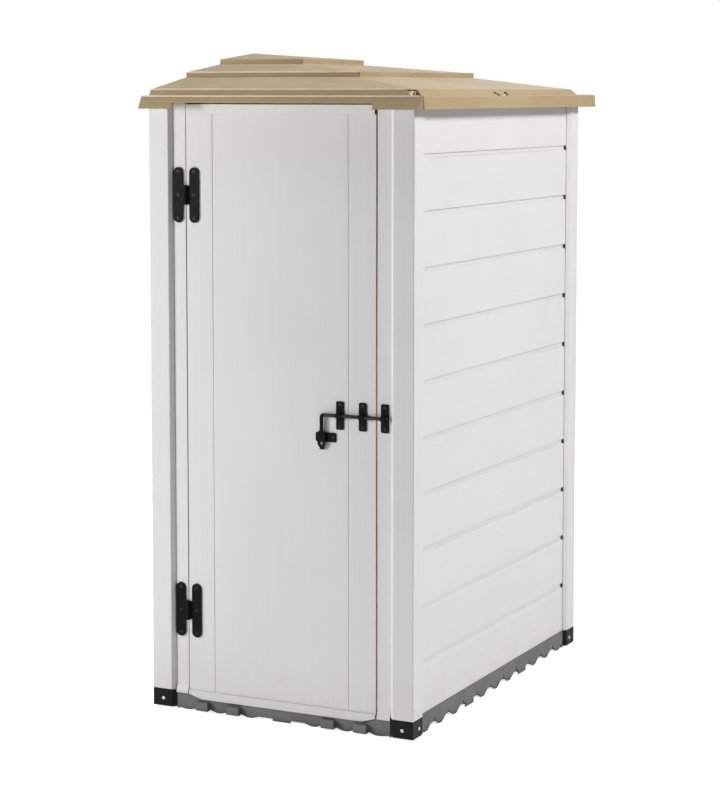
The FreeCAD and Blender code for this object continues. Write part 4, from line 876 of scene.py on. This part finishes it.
def bent_strip(name, material, line, half_width, half_thickness):
    """A small moulded strip: a rounded square carried along a line through the given points and
    square to it. The line is smoothed by a running mean. The section shrinks towards both ends
    by the root of one less a high power of the way from the middle. Its faces point inwards,
    which is a fault."""
    line = np.array(line)
    given = np.linspace(0, 1, len(line))
    along = np.linspace(0, 1, STRIP_STEPS)
    path = np.stack([np.interp(along, given, values) for values in line.T], -1)
    margin = STRIP_SMOOTHING // 2
    padded = np.pad(path, ((margin, margin), (0, 0)), mode="reflect", reflect_type="odd")
    smooth = np.ones(STRIP_SMOOTHING) / STRIP_SMOOTHING
    path = np.stack([np.convolve(values, smooth, "valid") for values in padded.T], -1)
    ahead = np.gradient(path, axis=0)
    ahead /= np.linalg.norm(ahead, axis=1)[:, None]
    thick = np.cross(ahead, np.array(REAR, float))
    thick /= np.linalg.norm(thick, axis=1)[:, None]
    wide = np.cross(thick, ahead)
    from_middle = np.abs(2 * along - 1)
    narrowing = np.sqrt(1 - from_middle**STRIP_END_POWER * STRIP_END_LOSS)[:, None, None]
    across, upward = rounded_square(SECTION_AROUND)
    rings = path[:, None, :] - narrowing * (
        half_width * across[None, :, None] * wide[:, None, :]
        + half_thickness * upward[None, :, None] * thick[:, None, :]
    )
    return carried_section(name, rings, path[[0, -1]], material)


def add_corner_parts():
    """The white hook of the corner clip and the tan tongue of the roof that it holds, both seen
    through the open corner of the roof."""
    parts = (
        ("corner_clip_hook", moulded_white("white_hook"), CLIP_HOOK_LINE, CLIP_HOOK_HALVES),
        ("corner_roof_tongue", roof_sheet("tan_tongue"), CLIP_TONGUE_LINE, CLIP_TONGUE_HALVES),
    )
    for name, material, line, halves in parts:
        piece = bent_strip(name, material, line, *halves)
        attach(piece, "cabinet")


def highlight_edge(name, material, row, side):
    """A rounded edge of the roof in a paler tan, a painted highlight: a rounded square of a small
    radius carried from right to left along the edge. It narrows at both ends by the root of one
    less a high power of the way from the middle."""
    along_y, level, left, right = row
    across, upward = rounded_square(EDGE_AROUND)
    step = np.linspace(0, 1, EDGE_STEPS)
    from_middle = np.abs(2 * step - 1)
    taper = np.sqrt(np.clip(1 - from_middle**EDGE_END_POWER, EDGE_LEAST_SHARE, 1))[:, None]
    place = left + (right - left) * (1 - step)
    rings = np.stack(
        np.broadcast_arrays(
            place[:, None],
            side * along_y + EDGE_RADIUS * taper * across,
            level + EDGE_RADIUS * taper * upward,
        ),
        -1,
    )
    ends = [(place[end], side * along_y, level) for end in (0, -1)]
    return carried_section(name, rings, ends, material)


def add_highlight_edges():
    """The pale edges along the front and the rear of the roof: painted highlights where the edges
    catch the light.
    """
    material = highlight_edge_finish()
    for place, row in ROOF_HIGHLIGHT_EDGES.items():
        for end, side in (("front", 1), ("rear", -1)):
            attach(highlight_edge(f"roof_{end}_{place}_edge", material, row, side), "cabinet")


# Floor, background, lamps and camera


def pale_floor():
    """A wide pale floor that takes the object's shadow and grows into plain white around it."""
    mesh = bpy.data.meshes.new("studio_floor")
    corners = [(-1, -1), (1, -1), (1, 1), (-1, 1)]
    points = [(FLOOR_REACH * x, FLOOR_REACH * y, 0) for x, y in corners]
    mesh.from_pydata(points, [], [(0, 1, 2, 3)])
    floor = bpy.data.objects.new("studio_floor", mesh)
    bpy.context.scene.collection.objects.link(floor)
    material = bpy.data.materials.new("pale_studio_floor")
    nodes = Nodes(material)
    place = nodes.add("ShaderNodeTexCoord").outputs["Object"]
    distance = nodes.add("ShaderNodeVectorMath", {0: place}, operation="LENGTH")
    growth = nodes.add(
        "ShaderNodeMapRange",
        {
            "Value": distance.outputs["Value"],
            "From Min": NEAR_FLOOR,
            "From Max": FAR_FLOOR,
            "To Min": FLOOR_GLOW,
            "To Max": 1.0,
        },
    )
    strength = nodes.product(growth.outputs["Result"], nodes.seen())
    matte = nodes.add("ShaderNodeBsdfDiffuse", {"Color": colour(243, 243, 243)})
    glow = nodes.add("ShaderNodeEmission", {"Color": WHITE, "Strength": strength})
    both = nodes.add(
        "ShaderNodeAddShader", {0: matte.outputs["BSDF"], 1: glow.outputs["Emission"]}
    )
    nodes.add("ShaderNodeOutputMaterial", {"Surface": both.outputs["Shader"]})
    mesh.materials.append(material)


def pale_surroundings():
    """Even soft light from all round, seen as plain white."""
    world = bpy.data.worlds.new("studio_surroundings")
    bpy.context.scene.world = world
    nodes = Nodes(world)
    light = nodes.add("ShaderNodeBackground", {"Color": WHITE, "Strength": SURROUNDING_LIGHT})
    plain = nodes.add("ShaderNodeBackground", {"Color": WHITE, "Strength": 1.0})
    shown = nodes.add(
        "ShaderNodeMixShader",
        {
            "Fac": nodes.seen(),
            1: light.outputs["Background"],
            2: plain.outputs["Background"],
        },
    )
    nodes.add("ShaderNodeOutputWorld", {"Surface": shown.outputs["Shader"]})


def soft_lamp(name, place, target, width, power):
    """A square soft box that looks at a target and isn't seen itself."""
    data = bpy.data.lights.new(name, "AREA")
    data.shape = "SQUARE"
    data.size = width
    data.energy = power
    lamp = bpy.data.objects.new(name, data)
    bpy.context.scene.collection.objects.link(lamp)
    lamp.location = place
    lamp.visible_camera = False
    lamp.rotation_euler = (Vector(target) - Vector(place)).to_track_quat("-Z", "Y").to_euler()


def photograph_camera():
    """The camera at the photograph's viewing angle: to the right of the front and near the height
    of the roof's eaves, with a small shift for its upright verticals."""
    data = bpy.data.cameras.new("photograph_camera")
    data.lens = CAMERA_LENS
    data.sensor_width = CAMERA_SENSOR
    data.shift_y = CAMERA_SHIFT
    data.clip_end = CAMERA_SIGHT
    camera = bpy.data.objects.new("photograph_camera", data)
    camera.location = CAMERA_PLACE
    camera.rotation_euler = (math.radians(90 - CAMERA_DOWN), 0, math.radians(CAMERA_TURN))
    bpy.context.scene.collection.objects.link(camera)
    bpy.context.scene.camera = camera


# The hinge post gets a strong, dark painted shade in its channel beside the jamb.
paint(white_board("white_hinge_post", MARKS_UP, POST_ROUNDING, HINGE_POST_CORNER_SHADE), HINGE_POST)
paint(white_board("white_corner_post", MARKS_UP, POST_ROUNDING, POST_CORNER_SHADE), CORNER_POSTS)
paint(white_board("white_upright_board", MARKS_UP), UPRIGHT_BOARDS)
paint(white_board("white_cross_board", MARKS_ACROSS), CROSS_BOARDS)
paint(white_board("white_side_board", MARKS_ALONG, corner_shade=SIDE_CORNER_SHADE), SIDE_BOARDS)
paint(moulded_white("moulded_white_clip"), MOULDED_CLIPS)
paint(roof_sheet("tan_roof_sheet"), ROOF_PANELS)
paint(tile_plastic(), FLOOR_TILES)
paint(foot_plastic(), FOOT_CAPS)
paint(black_paint("black_powder_coat", gloss=0.07, roughest=0.56), PAINTED_FITTINGS)
paint(black_paint("black_rod_coat", gloss=0.30, roughest=0.42), PAINTED_ROD)
add_screws()
add_seals()
add_corner_parts()
add_highlight_edges()

pale_floor()
pale_surroundings()
for lamp in LAMPS:
    soft_lamp(*lamp)
photograph_camera()
bpy.context.scene.view_settings.view_transform = "Standard"
